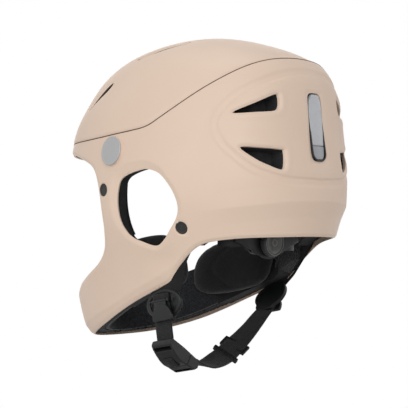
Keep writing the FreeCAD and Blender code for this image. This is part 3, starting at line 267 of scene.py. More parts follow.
def inside(points, line):
    """True for points inside a closed outline."""
    result = np.zeros(len(points), bool)
    x, y = points[:, 0], points[:, 1]
    for (x1, y1), (x2, y2) in zip(line, np.roll(line, -1, 0)):
        cross = (y1 > y) != (y2 > y)
        result ^= cross & (x < (x2 - x1) * (y - y1) / (y2 - y1 + 1e-12) + x1)
    return result


def ease(value, low, high):
    t = np.clip((value - low) / (high - low), 0, 1)
    return t * t * (3 - 2 * t)


# Mesh helpers
def new_object(name, verts, faces, smooth_shade=True):
    mesh = bpy.data.meshes.new(name)
    mesh.from_pydata([tuple(v) for v in verts], [], faces)
    mesh.update()
    if smooth_shade:
        mesh.polygons.foreach_set("use_smooth", [True] * len(mesh.polygons))
    obj = bpy.data.objects.new(name, mesh)
    bpy.context.scene.collection.objects.link(obj)
    return obj


def apply_all(obj):
    """Bake an object's modifiers into its mesh."""
    graph = bpy.context.evaluated_depsgraph_get()
    mesh = bpy.data.meshes.new_from_object(obj.evaluated_get(graph))
    old = obj.data
    obj.modifiers.clear()
    obj.data = mesh
    mesh.name = old.name
    bpy.data.meshes.remove(old)
    return obj


def boolean(obj, cutter, operation="DIFFERENCE"):
    """Cut, join or intersect, then remove the cutter."""
    mod = obj.modifiers.new("cut", "BOOLEAN")
    mod.operation = operation
    mod.solver = "MANIFOLD"
    mod.object = cutter
    apply_all(obj)
    bpy.data.objects.remove(cutter)
    return obj


def prism(name, line, axis, low, high):
    """Prism over an outline along an axis, in metres."""
    put = {"x": lambda a, b, c: (c, a, b), "y": lambda a, b, c: (a, c, b),
           "z": lambda a, b, c: (a, b, c)}[axis]
    n = len(line)
    verts = [put(a * MM, b * MM, level * MM) for level in (low, high) for a, b in line]
    obj = new_object(name, verts, [], False)
    bm = bmesh.new()
    bm.from_mesh(obj.data)
    bm.verts.ensure_lookup_table()
    bm.faces.new([bm.verts[i] for i in range(n)])
    bm.faces.new([bm.verts[n + i] for i in range(n)][::-1])
    for i in range(n):
        j = (i + 1) % n
        bm.faces.new([bm.verts[i], bm.verts[n + i], bm.verts[n + j], bm.verts[j]])
    bmesh.ops.recalc_face_normals(bm, faces=bm.faces)
    bmesh.ops.triangulate(bm, faces=[f for f in bm.faces if len(f.verts) > 4])
    bm.to_mesh(obj.data)
    bm.free()
    return obj


def angle_shade(obj, degrees=32):
    """Smooth shading that breaks at sharp edges."""
    mesh = obj.data
    mesh.polygons.foreach_set("use_smooth", [True] * len(mesh.polygons))
    bm = bmesh.new()
    bm.from_mesh(mesh)
    limit = math.radians(degrees)
    for edge in bm.edges:
        edge.smooth = len(edge.link_faces) == 2 and edge.calc_face_angle(0) < limit
    bm.to_mesh(mesh)
    bm.free()
    return obj


def tube(name, centre, direction, radius, length, sides=48):
    """Plain round cutter."""
    direction = Vector(direction).normalized()
    turn = direction.to_track_quat("Z", "Y").to_matrix()
    verts, faces = [], []
    for level in (0, length):
        for k in range(sides):
            a = 2 * math.pi * k / sides
            p = turn @ Vector((radius * math.cos(a), radius * math.sin(a), level))
            verts.append((Vector(centre) + p) * MM)
    for k in range(sides):
        j = (k + 1) % sides
        faces.append((k, j, sides + j, sides + k))
    faces += [tuple(range(sides))[::-1], tuple(range(sides, 2 * sides))]
    return new_object(name, verts, faces, False)


# Shells
def on_rear(line):
    """Outline in the rear view laid on the skin."""
    return np.stack([line[:, 0], SKIN.rear_y(line[:, 0], line[:, 1]), line[:, 1]], 1)


def rolled(d, radius, drop):
    """Soft rounding that drops towards an edge."""
    return -drop * (1 - ease(d, 0.0, radius)) ** 1.5


def lower_relief(p):
    """Height added along the normal of the lower shell's skin, in millimetres."""
    side = p[:, 1:3]
    rear = p[:, [0, 2]]
    mirrored = np.stack([np.abs(p[:, 0]), p[:, 2]], 1)
    lift = np.zeros(len(p))
    # rounded edges at the port and the neck rim
    lift += rolled(away(side, smooth(PORT, False), False), 4.0, 1.7)
    lift += rolled(away(side, smooth(RIM, False), False), 3.4, 1.2)
    # sloping band above the rim of the chin bar
    band = smooth(CHAMFER, False)
    order = np.argsort(band[:, 0])
    top = np.interp(p[:, 1], band[order, 0], band[order, 1])
    fade = 1 - ease(p[:, 1], 20, 62)
    lift -= np.clip(top - p[:, 2] + 1.0, 0, 13) * 0.30 * fade * ease(top - p[:, 2], -1.5, 1.5)
    # bevel of the ear opening, wide above and in front
    d = away(side, smooth(WINDOW, True), True)
    heading = np.arctan2(side[:, 1] + 32, side[:, 0] - 17)
    wide = 4.5 + 5.5 * np.clip(np.cos(heading - math.radians(125)), 0, 1)
    flank = np.abs(p[:, 0]) > 60
    lift -= np.where(flank & (d < wide), (wide - d) * 0.36 * ease(wide - d, 0, 1.5), 0)
    # soft ramp under the ear opening
    ramp = np.exp(-(((side[:, 0] - 16) / 20) ** 2 + ((side[:, 1] + 84) / 11) ** 2))
    lift -= np.where(flank, ramp * 1.6, 0)
    # shallow channel round the rear panel
    half = smooth(GROOVE, False, 10)
    ring = np.concatenate([half, (half * [-1, 1])[-2:0:-1]])
    far = p[:, 1] > 30
    d = np.full(len(p), 99.0)
    d[far] = away(p[far], on_rear(ring), True)
    within = inside(rear, ring) & far
    inner = 1 - ease(d, 1.9, 3.9)
    outer = 1 - ease(d, 2.2, 6.4)
    lift -= 1.35 * np.where(within, inner, outer)
    lift += np.where(within, 0.35 * ease(d, 3, 9), 0)
    # lips of the rear vents
    for shares in (UPPER_VENT, LOWER_VENT):
        line = smooth(shares, True, 4)
        d = np.full(len(p), 99.0)
        near = far & (np.abs(p[:, 0]) > 20)
        d[near] = away(np.stack([np.abs(p[near, 0]), p[near, 1], p[near, 2]], 1), on_rear(line), True)
        hole = inside(mirrored, line)
        lift += np.where(hole, 0, 0.45 * np.exp(-((d - 4.2) / 2.6) ** 2)) + rolled(d, 2.2, 1.0)
    # crease low on the rear, fading towards the ear
    fade = ease(p[:, 1], 70, 110)
    lift += fade * 1.7 * np.clip(1 - np.abs(p[:, 2] + 47.5) / 15, 0, 1) ** 1.3
    # shallow recess round the light
    d = np.maximum(np.abs(p[:, 0]) - 10, np.abs(p[:, 2] - 23) - 33)
    lift -= np.where((p[:, 1] > 80) & (d < 3.0), (3.0 - np.maximum(d, 0)) * 0.30, 0)
    # rounded holes of the plugs
    for y, z in PLUGS:
        d = np.hypot(side[:, 0] - y, side[:, 1] - z) - 6.5
        lift += np.where(flank & (d < 3), rolled(np.maximum(d, 0), 2.0, 0.55), 0)
    return lift


def crown_relief(p):
    """Height added along the normal of the crown shell's skin."""
    side = p[:, 1:3]
    lift = 0.9 - CROWN_EASE * ease(p[:, 2], 66, 108)
    d = away(side, smooth(SEAM, False), False)
    lift += rolled(d, 3.4, 1.2)
    flank = np.abs(p[:, 0]) > 40
    hollow = smooth(FRONT_HOLLOW, True, 4)
    d = away(side, hollow, True)
    lift -= np.where(flank & inside(side, hollow), 1.5 * ease(d, 0, 2.5), 0)
    lift += np.where(flank, rolled(d, 2.2, 0.7), 0)
    top = np.stack([np.abs(p[:, 0]), p[:, 1]], 1)
    d = away(top, smooth(TOP_SLIT, True, 4), True)
    lift += np.where(p[:, 2] > 90, rolled(d, 2.4, 0.9), 0)
    # soft hollow along the rear edge of the crown
    d = np.hypot(np.maximum(np.abs(p[:, 0]) - 19, 0), (p[:, 2] - 101.5) * 1.2)
    lift -= np.where(p[:, 1] > 80, 1.6 * (1 - ease(d, 1.2, 4.0)), 0)
    return np.maximum(lift, -2.5)


CROWN_EASE = 3.3


def mesh_from(name, verts, quads, tris):
    """Object from arrays of points, four-sided and three-sided faces."""
    mesh = bpy.data.meshes.new(name)
    loops = np.concatenate([quads.ravel(), tris.ravel()]).astype(np.int32)
    mesh.vertices.add(len(verts))
    mesh.vertices.foreach_set("co", np.ascontiguousarray(verts, dtype=np.float32).ravel())
    mesh.loops.add(len(loops))
    mesh.loops.foreach_set("vertex_index", loops)
    starts = np.concatenate([np.arange(len(quads)) * 4, len(quads) * 4 + np.arange(len(tris)) * 3])
    mesh.polygons.add(len(starts))
    mesh.polygons.foreach_set("loop_start", starts.astype(np.int32))
    mesh.update(calc_edges=True)
    mesh.validate()
    obj = bpy.data.objects.new(name, mesh)
    bpy.context.scene.collection.objects.link(obj)
    return obj


def layer_faces(offset, apex, rows, count, flip):
    """Faces of one smooth face of the shell: quads below a fan at the top."""
    grid = offset + np.arange(rows * count).reshape(rows, count)
    a, b = grid[:-1], grid[1:]
    quads = np.stack([a, b, np.roll(b, -1, 1), np.roll(a, -1, 1)], -1).reshape(-1, 4)
    tris = np.stack([np.full(count, apex), grid[0], np.roll(grid[0], -1)], -1)
    return (quads[:, ::-1], tris[:, ::-1]) if flip else (quads, tris)


class Shell:
    """Closed smooth shell that is cut first and then given its relief."""

    def __init__(self, name, thickness, count=500, rows=330):
        levels = np.linspace(0, 1, rows) ** 0.92
        outer = SKIN.grid(0, count, levels)
        few, low = count // 2, rows // 2
        inner = SKIN.grid(thickness, few, np.linspace(0, 1, low) ** 0.92)
        normal = np.cross(np.roll(outer, -1, 1) - np.roll(outer, 1, 1), np.gradient(outer, axis=0))
        normal /= np.maximum(np.linalg.norm(normal, axis=2, keepdims=True), 1e-9)
        if normal[rows // 2, 0] @ (outer[rows // 2, 0] - outer[rows // 2].mean(0)) < 0:
            normal = -normal
        normal[0] = [0, 0, 1]
        self.points, self.normals = outer.reshape(-1, 3), normal.reshape(-1, 3)
        verts = np.concatenate([[outer[0, 0]], [inner[0, 0]],
                                outer[1:].reshape(-1, 3), inner[1:].reshape(-1, 3)])
        start = 2 + (rows - 1) * count
        q1, t1 = layer_faces(2, 0, rows - 1, count, False)
        q2, t2 = layer_faces(start, 1, low - 1, few, True)
        o = 2 + (rows - 2) * count + np.arange(count)
        i = start + (low - 2) * few + np.arange(few)
        even, odd = o[0::2], o[1::2]
        t3 = np.concatenate([np.stack([even, i, odd], -1), np.stack([odd, i, np.roll(i, -1)], -1),
                             np.stack([odd, np.roll(i, -1), np.roll(even, -1)], -1)])
        self.obj = mesh_from(name, verts * MM, np.concatenate([q1, q2]), np.concatenate([t1, t2, t3]))
        bm = bmesh.new()
        bm.from_mesh(self.obj.data)
        bmesh.ops.recalc_face_normals(bm, faces=bm.faces)
        bm.to_mesh(self.obj.data)
        bm.free()

    def shape(self, relief):
        """Lift the outer face by the relief and keep the wall's thickness behind it."""
        mesh = self.obj.data
        tree = KDTree(len(self.points))
        for k, point in enumerate(self.points):
            tree.insert(point, k)
        tree.balance()
        co = np.empty(len(mesh.vertices) * 3)
        mesh.vertices.foreach_get("co", co)
        co = co.reshape(-1, 3) / MM
        index = np.array([tree.find(point)[1] for point in co])
        normal = self.normals[index]
        depth = np.einsum("ij,ij->i", self.points[index] - co, normal)
        lift = relief(co + normal * depth[:, None])
        lift = np.where(depth < 1.2, lift, np.minimum(lift + 1.4, 0))
        mesh.vertices.foreach_set("co", ((co + normal * lift[:, None]) * MM).ravel())
        mesh.update()


def skin_frame(y, z):
    """Point on the left skin and its outward direction."""
    x = float(SKIN.half_x(y, z))
    sy = float(SKIN.half_x(y + 2, z) - SKIN.half_x(y - 2, z)) / 4
    sz = float(SKIN.half_x(y, z + 2) - SKIN.half_x(y, z - 2)) / 4
    return Vector((x, y, z)), Vector((1, -sy, -sz)).normalized()


PLUGS = ((-37.0, -5.5), (51.0, -58.5))
WEB_Y = -1.5


def trim(obj, line, ahead, levels, reach=160):
    """Cut away, right across, what lies between a run of points and two corners beyond it."""
    corners = [(line[-1][0] + ahead, levels[0]), (line[0][0] + ahead, levels[1])]
    outline = np.concatenate([line, corners])
    boolean(obj, prism("c", outline, "x", -reach, reach))


def build_shells():
    """Lower shell and crown, cut along the seam with a narrow gap between them."""
    reach, gap = 160, 0.45
    above, below = 190, -230
    seam = smooth(SEAM, False)
    port = smooth(PORT, False)
    rim = smooth(RIM, False)
    lower = Shell("lower_shell_skin", 3.0)
    obj = lower.obj
    trim(obj, seam - [0, gap], 0, (above, above))
    trim(obj, port, -40, (port[-1][1], port[0][1]))
    trim(obj, rim, 0, (below, below))
    for s in (1, -1):
        boolean(obj, prism("c", smooth(WINDOW, True), "x", 34 * s, reach * s))
        for shares in (UPPER_VENT, LOWER_VENT):
            boolean(obj, prism("c", smooth(shares, True, 4) * [s, 1], "y", 94, 240))
        for y, z in PLUGS:
            point, out = skin_frame(y, z)
            point, out = Vector((point.x * s, point.y, point.z)), Vector((out.x * s, out.y, out.z))
            boolean(obj, tube("c", point - out * 3.4, out, 6.5, 30))
    pill = np.array([(10.1 * power(math.cos(a), 0.55), 23 + 33.1 * power(math.sin(a), 0.18))
                     for a in np.linspace(0, 2 * math.pi, 56, endpoint=False)])
    boolean(obj, prism("c", pill, "y", 128, 220))
    lower.shape(lower_relief)
    crown = Shell("crown_shell_skin", 3.0)
    obj = crown.obj
    trim(obj, seam + [0, gap], 0, (below, below))
    for s in (1, -1):
        boolean(obj, prism("c", smooth(FRONT_SLIT, True, 4), "x", 57 * s, 172 * s))
        boolean(obj, prism("c", smooth(TOP_SLIT, True, 4) * [s, 1], "z", 111, 152))
    crown.shape(crown_relief)
    for part in (lower, crown):
        angle_shade(part.obj, 34)
    return lower.obj, crown.obj


# Materials
class Mat:
    """A small builder for procedural materials."""

    def __init__(self, name, color, rough, metallic=0.0, **sockets):
        self.mat = bpy.data.materials.new(name)
        self.mat.use_nodes = True
        self.tree = self.mat.node_tree
        self.bsdf = self.tree.nodes["Principled BSDF"]
        self.bsdf.inputs["Base Color"].default_value = (*color, 1)
        self.bsdf.inputs["Roughness"].default_value = rough
        self.bsdf.inputs["Metallic"].default_value = metallic
        for key, value in sockets.items():
            self.bsdf.inputs[key.replace("_", " ").title()].default_value = value
        self.color = color
        self.coord = self.node("ShaderNodeTexCoord").outputs["Object"]
        self.uv = self.coord.node.outputs["UV"]
        self.normal = None

    def node(self, kind, inputs=None, **settings):
        node = self.tree.nodes.new(kind)
        for key, value in settings.items():
            setattr(node, key, value)
        for key, value in (inputs or {}).items():
            socket = node.inputs[key]
            if isinstance(value, bpy.types.NodeSocket):
                self.tree.links.new(value, socket)
            else:
                socket.default_value = value
        return node

    def scaled(self, vector, scale):
        return self.node("ShaderNodeMapping", {"Vector": vector, "Scale": scale}).outputs[0]

    def noise(self, scale, detail=3.0, vector=None, rough=0.55):
        values = {"Vector": vector or self.coord, "Scale": scale, "Detail": detail, "Roughness": rough}
        return self.node("ShaderNodeTexNoise", values).outputs["Fac"]

    def cells(self, scale, vector=None, feature="F1"):
        return self.node("ShaderNodeTexVoronoi", {"Vector": vector or self.coord, "Scale": scale},
                         feature=feature).outputs["Distance"]

    def wave(self, scale, direction="X", vector=None, distortion=0.0, profile="SIN"):
        values = {"Vector": vector or self.coord, "Scale": scale, "Distortion": distortion}
        return self.node("ShaderNodeTexWave", values, bands_direction=direction,
                         wave_profile=profile).outputs["Fac"]

    def math(self, operation, a, b=0.0):
        node = self.node("ShaderNodeMath", operation=operation)
        for socket, value in zip(node.inputs, (a, b)):
            if isinstance(value, bpy.types.NodeSocket):
                self.tree.links.new(value, socket)
            else:
                socket.default_value = value
        return node.outputs[0]

    def range(self, value, low, high, a, b):
        return self.node("ShaderNodeMapRange", {"Value": value, "From Min": low, "From Max": high,
                                                "To Min": a, "To Max": b}).outputs[0]

    def bump(self, height, strength, distance):
        inputs = {"Height": height, "Strength": strength, "Distance": distance}
        if self.normal:
            inputs["Normal"] = self.normal
        self.normal = self.node("ShaderNodeBump", inputs).outputs[0]
        self.tree.links.new(self.normal, self.bsdf.inputs["Normal"])
        return self

    def shade(self, mask, color):
        """Blend the base colour towards another by a mask."""
        socket = self.bsdf.inputs["Base Color"]
        base = socket.links[0].from_socket if socket.links else (*self.color, 1)
        mix = self.node("ShaderNodeMix", data_type="RGBA")
        self.tree.links.new(mask, mix.inputs[0])
        a, b = mix.inputs[6], mix.inputs[7]
        if isinstance(base, bpy.types.NodeSocket):
            self.tree.links.new(base, a)
        else:
            a.default_value = base
        b.default_value = (*color, 1)
        self.tree.links.new(mix.outputs[2], socket)
        return self

    def vary_rough(self, value, low, high):
        self.tree.links.new(self.range(value, 0.3, 0.7, low, high), self.bsdf.inputs["Roughness"])
        return self


def srgb(r, g, b):
    return tuple(((c / 255 + 0.055) / 1.055) ** 2.4 if c > 10 else c / 255 / 12.92 for c in (r, g, b))


def paint():
    m = Mat("satin_paint", srgb(230, 205, 185), 0.5)
    m.bsdf.inputs["Specular IOR Level"].default_value = 0.42
    m.bsdf.inputs["Coat Weight"].default_value = 0.06
    m.bsdf.inputs["Coat Roughness"].default_value = 0.35
    m.shade(m.range(m.noise(9, 2), 0.35, 0.7, 0.0, 0.22), srgb(221, 197, 178))
    m.shade(m.range(m.noise(900, 2), 0.62, 0.78, 0.0, 0.10), srgb(240, 222, 208))
    edge = m.node("ShaderNodeNewGeometry").outputs["Pointiness"]
    m.shade(m.math("MULTIPLY", m.range(edge, 0.53, 0.60, 0.0, 0.45), m.noise(140, 3)), srgb(243, 228, 216))
    m.vary_rough(m.noise(35, 3), 0.44, 0.56)
    m.bump(m.noise(1500, 2), 0.10, 0.0002)
    m.bump(m.noise(60, 2), 0.05, 0.0008)
    return m


def plastic(name, color, rough, grain=0.12, scale=2200):
    m = Mat(name, color, rough)
    m.bsdf.inputs["Specular IOR Level"].default_value = 0.3
    m.shade(m.range(m.noise(30, 3), 0.4, 0.7, 0.0, 0.35), tuple(c * 1.35 + 0.002 for c in color))
    # Painted highlight: convex edges found by pointiness are lightened, standing in for the glints along
    # rounded edges.
    edge = m.node("ShaderNodeNewGeometry").outputs["Pointiness"]
    m.shade(m.range(edge, 0.54, 0.64, 0.0, 0.5), tuple(c * 2.6 + 0.012 for c in color))
    m.vary_rough(m.noise(90, 3), rough - 0.06, rough + 0.08)
    m.bump(m.cells(scale), grain, 0.0002)
    return m


def foam():
    m = Mat("moulded_foam", srgb(20, 21, 23), 0.85)
    beads = m.cells(420)
    m.shade(m.range(beads, 0.0, 0.6, 0.55, 0.0), srgb(33, 34, 37))
    m.shade(m.range(m.noise(20, 3), 0.45, 0.7, 0.0, 0.4), srgb(14, 15, 17))
    m.vary_rough(m.noise(120, 2), 0.78, 0.92)
    m.bump(m.cells(420, feature="SMOOTH_F1"), 0.55, 0.0006)
    return m


def fabric(name, dark, light, scale=1500.0, fleck=0.5, sheen=0.35):
    """Knitted or woven cloth in object coordinates."""
    m = Mat(name, dark, 0.9)
    m.bsdf.inputs["Sheen Weight"].default_value = sheen
    m.bsdf.inputs["Sheen Roughness"].default_value = 0.55
    m.bsdf.inputs["Specular IOR Level"].default_value = 0.2
    one = m.wave(scale * 0.16, "DIAGONAL", distortion=1.2)
    two = m.wave(scale * 0.16, "Z", distortion=1.2)
    knit = m.math("MULTIPLY", one, two)
    m.shade(m.math("MULTIPLY", m.range(m.noise(scale * 0.35, 4), 0.42, 0.66, 0.0, 1.0), fleck), light)
    m.shade(m.range(m.noise(14, 2), 0.4, 0.7, 0.0, 0.35), tuple(c * 0.6 for c in dark))
    m.bump(knit, 0.5, 0.0005)
    m.bump(m.noise(scale, 3), 0.35, 0.0004)
    return m


def mesh_cloth():
    m = Mat("spacer_mesh", srgb(30, 30, 32), 0.85)
    m.bsdf.inputs["Sheen Weight"].default_value = 0.3
    holes = m.cells(430, feature="DISTANCE_TO_EDGE")
    m.shade(m.range(holes, 0.06, 0.22, 0.0, 1.0), srgb(7, 7, 8))
    m.shade(m.range(m.noise(700, 2), 0.5, 0.75, 0.0, 0.6), srgb(52, 52, 55))
    m.bump(m.range(holes, 0.02, 0.2, 1.0, 0.0), 0.9, 0.0009)
    return m


def webbing():
    """Ribbed webbing: u runs along the strap in millimetres, v across it."""
    m = Mat("webbing", srgb(22, 23, 24), 0.68)
    m.bsdf.inputs["Sheen Weight"].default_value = 0.12
    m.bsdf.inputs["Specular IOR Level"].default_value = 0.25
    split = m.node("ShaderNodeSeparateXYZ", {"Vector": m.uv})
    along, across = split.outputs[0], split.outputs[1]
    rib = m.math("SINE", m.math("MULTIPLY", along, 2 * math.pi / 1.25))
    lane = m.math("SINE", m.math("MULTIPLY", across, 2 * math.pi / 1.9))
    weave = m.math("ADD", m.math("MULTIPLY", rib, 0.7),
                   m.math("MULTIPLY", m.math("MULTIPLY", rib, lane), 0.5))
    m.shade(m.range(weave, -1.0, 1.0, 0.75, 0.0), srgb(11, 11, 12))
    m.shade(m.range(m.noise(600, 3), 0.5, 0.8, 0.0, 0.5), srgb(38, 39, 41))
    m.vary_rough(m.noise(300, 2), 0.6, 0.78)
    m.bump(weave, 0.55, 0.00035)
    return m


def brushed():
    m = Mat("satin_metal", srgb(176, 176, 177), 0.46, 0.45)
    grain = m.noise(500, 3, m.scaled(m.coord, (0.3, 1, 6)))
    m.shade(m.range(grain, 0.35, 0.7, 0.0, 0.5), srgb(160, 160, 162))
    m.vary_rough(m.noise(300, 2, m.scaled(m.coord, (0.3, 1, 6))), 0.40, 0.52)
    m.bump(m.noise(900, 2, m.scaled(m.coord, (0.3, 1, 8))), 0.15, 0.0001)
    return m


def lens():
    m = Mat("diffusing_lens", srgb(176, 178, 182), 0.30)
    m.bsdf.inputs["Coat Weight"].default_value = 0.5
    m.bsdf.inputs["Coat Roughness"].default_value = 0.12
    m.bsdf.inputs["Subsurface Weight"].default_value = 0.15
    m.bsdf.inputs["Subsurface Radius"].default_value = (0.002, 0.002, 0.002)
    prisms = m.cells(1100)
    m.shade(m.range(prisms, 0.1, 0.6, 0.4, 0.0), srgb(150, 152, 158))
    m.shade(m.range(m.noise(60, 2), 0.4, 0.7, 0.0, 0.3), srgb(196, 198, 202))
    m.bump(prisms, 0.25, 0.0003)
    return m


def lens_key():
    m = Mat("button_lens", srgb(150, 152, 157), 0.38)
    m.bsdf.inputs["Coat Weight"].default_value = 0.3
    lattice = {"Vector": m.coord, "Scale": 620.0, "Randomness": 0.0}
    dots = m.node("ShaderNodeTexVoronoi", lattice).outputs["Distance"]
    m.shade(m.range(dots, 0.15, 0.35, 0.5, 0.0), srgb(122, 124, 130))
    m.bump(m.range(dots, 0.1, 0.4, 1.0, 0.0), 0.5, 0.0003)
    return m


def steel():
    m = Mat("plated_steel", srgb(150, 152, 155), 0.32, 1.0)
    m.shade(m.range(m.noise(200, 3), 0.4, 0.7, 0.0, 0.5), srgb(118, 119, 122))
    m.bump(m.noise(800, 2), 0.12, 0.0001)
    return m


def circuit():
    m = Mat("circuit_board", srgb(22, 66, 44), 0.4)
    m.shade(m.range(m.cells(500, feature="DISTANCE_TO_EDGE"), 0.0, 0.08, 0.8, 0.0), srgb(60, 110, 78))
    m.bump(m.noise(400, 2), 0.2, 0.0002)
    return m


def lamp_red():
    m = Mat("lamp_body", srgb(170, 28, 24), 0.25)
    m.shade(m.range(m.noise(700, 2), 0.4, 0.7, 0.0, 0.4), srgb(120, 16, 14))
    m.bump(m.noise(900, 2), 0.1, 0.0001)
    return m


MATS = {
    "paint": paint(),
    "foam": foam(),
    "lining": fabric("heathered_lining", srgb(34, 35, 37), srgb(66, 68, 72), 1500, 0.7, 0.15),
    "pad": fabric("pad_cloth", srgb(17, 17, 18), srgb(28, 28, 30), 2200, 0.4, 0.2),
    "mesh": mesh_cloth(),
    "webbing": webbing(),
    "strap": fabric("strap_cloth", srgb(15, 15, 16), srgb(27, 28, 29), 2600, 0.4, 0.12),
    "gasket": plastic("gasket_rubber", srgb(70, 52, 42), 0.75),
    "plastic": plastic("moulded_plastic", srgb(19, 20, 21), 0.42),
    "knob": plastic("knob_plastic", srgb(60, 60, 60), 0.34),
    # light grey of the dial hub, also used for the beads that are painted highlights on the dial's ridges
    "rim": plastic("dial_hub_grey_and_painted_highlight", srgb(128, 127, 125), 0.3),
    "plug": plastic("plug_plastic", srgb(44, 43, 42), 0.55),
    "disc": brushed(),
    "lens": lens(),
    "lens_key": lens_key(),
    "steel": steel(),
    "board": circuit(),
    "lamp": lamp_red(),
    "cell": plastic("cell_sleeve", srgb(40, 64, 96), 0.35),
}


def dress(obj, key):
    """Give an object one finish."""
    obj.data.materials.clear()
    obj.data.materials.append(MATS[key].mat)
    return obj


def dress_node(node, key):
    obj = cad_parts[node]
    for k in range(max(len(obj.material_slots), 1)):
        if not obj.material_slots:
            obj.data.materials.append(MATS[key].mat)
        obj.material_slots[k].material = MATS[key].mat


def settle(obj, body, key, slot, *nodes):
    """Finish, body and replaced nodes of one new piece; slot is not used."""
    if key:
        dress(obj, key)
    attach(obj, body)
    if nodes:
        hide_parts(*nodes)
    return obj


# Pieces
def join(name, objs):
    """One object out of several."""
    bm = bmesh.new()
    for o in objs:
        bm.from_mesh(o.data)
        bpy.data.objects.remove(o)
    mesh = bpy.data.meshes.new(name)
    bm.to_mesh(mesh)
    bm.free()
    obj = bpy.data.objects.new(name, mesh)
    bpy.context.scene.collection.objects.link(obj)
    return obj


def lathe(name, profile, centre, direction, sides=96, wobble=None):
    """Turned form: profile points are (radius, height) in millimetres along the direction."""
    turn = Vector(direction).normalized().to_track_quat("Z", "Y").to_matrix()
    centre = Vector(centre)
    verts, faces = [], []
    for i, (r, h) in enumerate(profile):
        for k in range(sides):
            a = 2 * math.pi * k / sides
            rr = r * (1 + (wobble(a, i) if wobble else 0))
            verts.append((centre + turn @ Vector((rr * math.cos(a), rr * math.sin(a), h))) * MM)
    for i in range(len(profile) - 1):
        for k in range(sides):
            j = (k + 1) % sides
            faces.append((i * sides + k, i * sides + j, (i + 1) * sides + j, (i + 1) * sides + k))
    faces.append(tuple(range(sides))[::-1])
    faces.append(tuple(range((len(profile) - 1) * sides, len(profile) * sides)))
    return angle_shade(new_object(name, verts, faces), 40)


def rounded(points, radius, steps=4):
    """Profile with its inner corners rounded."""
    out = [points[0]]
    for a, b, c in zip(points, points[1:], points[2:]):
        a, b, c = (np.array(p, float) for p in (a, b, c))
        ra = min(radius, np.linalg.norm(a - b) / 2.2)
        rc = min(radius, np.linalg.norm(c - b) / 2.2)
        p, q = b + (a - b) / np.linalg.norm(a - b) * ra, b + (c - b) / np.linalg.norm(c - b) * rc
        for k in range(steps + 1):
            t = k / steps
            out.append(tuple((1 - t) ** 2 * p + 2 * t * (1 - t) * b + t * t * q))
    out.append(points[-1])
    return out


def softened(name, node, voxel=0.45, passes=3):
    """Rounded-edge copy of a moulded CAD solid."""
    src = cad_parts[node]
    mesh = src.data.copy()
    mesh.name = name
    obj = bpy.data.objects.new(name, mesh)
    bpy.context.scene.collection.objects.link(obj)
    bm = bmesh.new()
    bm.from_mesh(mesh)
    bmesh.ops.remove_doubles(bm, verts=bm.verts, dist=1e-6)
    bm.to_mesh(mesh)
    bm.free()
    mod = obj.modifiers.new("remesh", "REMESH")
    mod.mode = "VOXEL"
    mod.voxel_size = voxel * MM
    mod = obj.modifiers.new("smooth", "SMOOTH")
    mod.factor = 0.5
    mod.iterations = passes
    apply_all(obj)
    obj.data.polygons.foreach_set("use_smooth", [True] * len(obj.data.polygons))
    return obj


def slab(name, outline, half, basis, start, bevel=0.8, centre_across=0.0):
    """Bevelled block over an (s, h) outline, half its width to each side, in a strap frame."""
    s_axis, h_axis = (Vector(v) for v in basis)
    across = Vector((0, 1, 0))
    n = len(outline)
    verts = []
    for w in (centre_across - half, centre_across + half):
        for s, h in outline:
            verts.append((Vector(start) + s_axis * s + h_axis * h + across * w) * MM)
    faces = [tuple(range(n))[::-1], tuple(range(n, 2 * n))]
    faces += [(k, (k + 1) % n, n + (k + 1) % n, n + k) for k in range(n)]
    obj = new_object(name, verts, faces)
    bm = bmesh.new()
    bm.from_mesh(obj.data)
    bmesh.ops.recalc_face_normals(bm, faces=bm.faces)
    edges = [e for e in bm.edges if e.calc_face_angle(0) > math.radians(25)]
    bmesh.ops.bevel(bm, geom=edges, offset=bevel * MM, segments=3, profile=0.6, affect="EDGES",
                    clamp_overlap=True)
    bm.to_mesh(obj.data)
    bm.free()
    return angle_shade(obj, 45)


def strap_run(points, step=1.2):
    """Evenly spaced (x, z) points with tangents along a smooth run."""
    p = np.array(points, float)
    fine = []
    for i in range(len(p) - 1):
        a, b, c, d = (p[min(max(i + k, 0), len(p) - 1)] for k in (-1, 0, 1, 2))
        for s in range(24):
            t = s / 24
            fine.append(0.5 * (2 * b + (c - a) * t + (2 * a - 5 * b + 4 * c - d) * t * t
                               + (3 * b - 3 * c + d - a) * t ** 3))
    fine.append(p[-1])
    fine = np.array(fine)
    run = np.concatenate([[0], np.cumsum(np.linalg.norm(np.diff(fine, axis=0), axis=1))])
    at = np.linspace(0, run[-1], max(int(run[-1] / step), 4))
    return np.stack([np.interp(at, run, fine[:, k]) for k in (0, 1)], 1), at


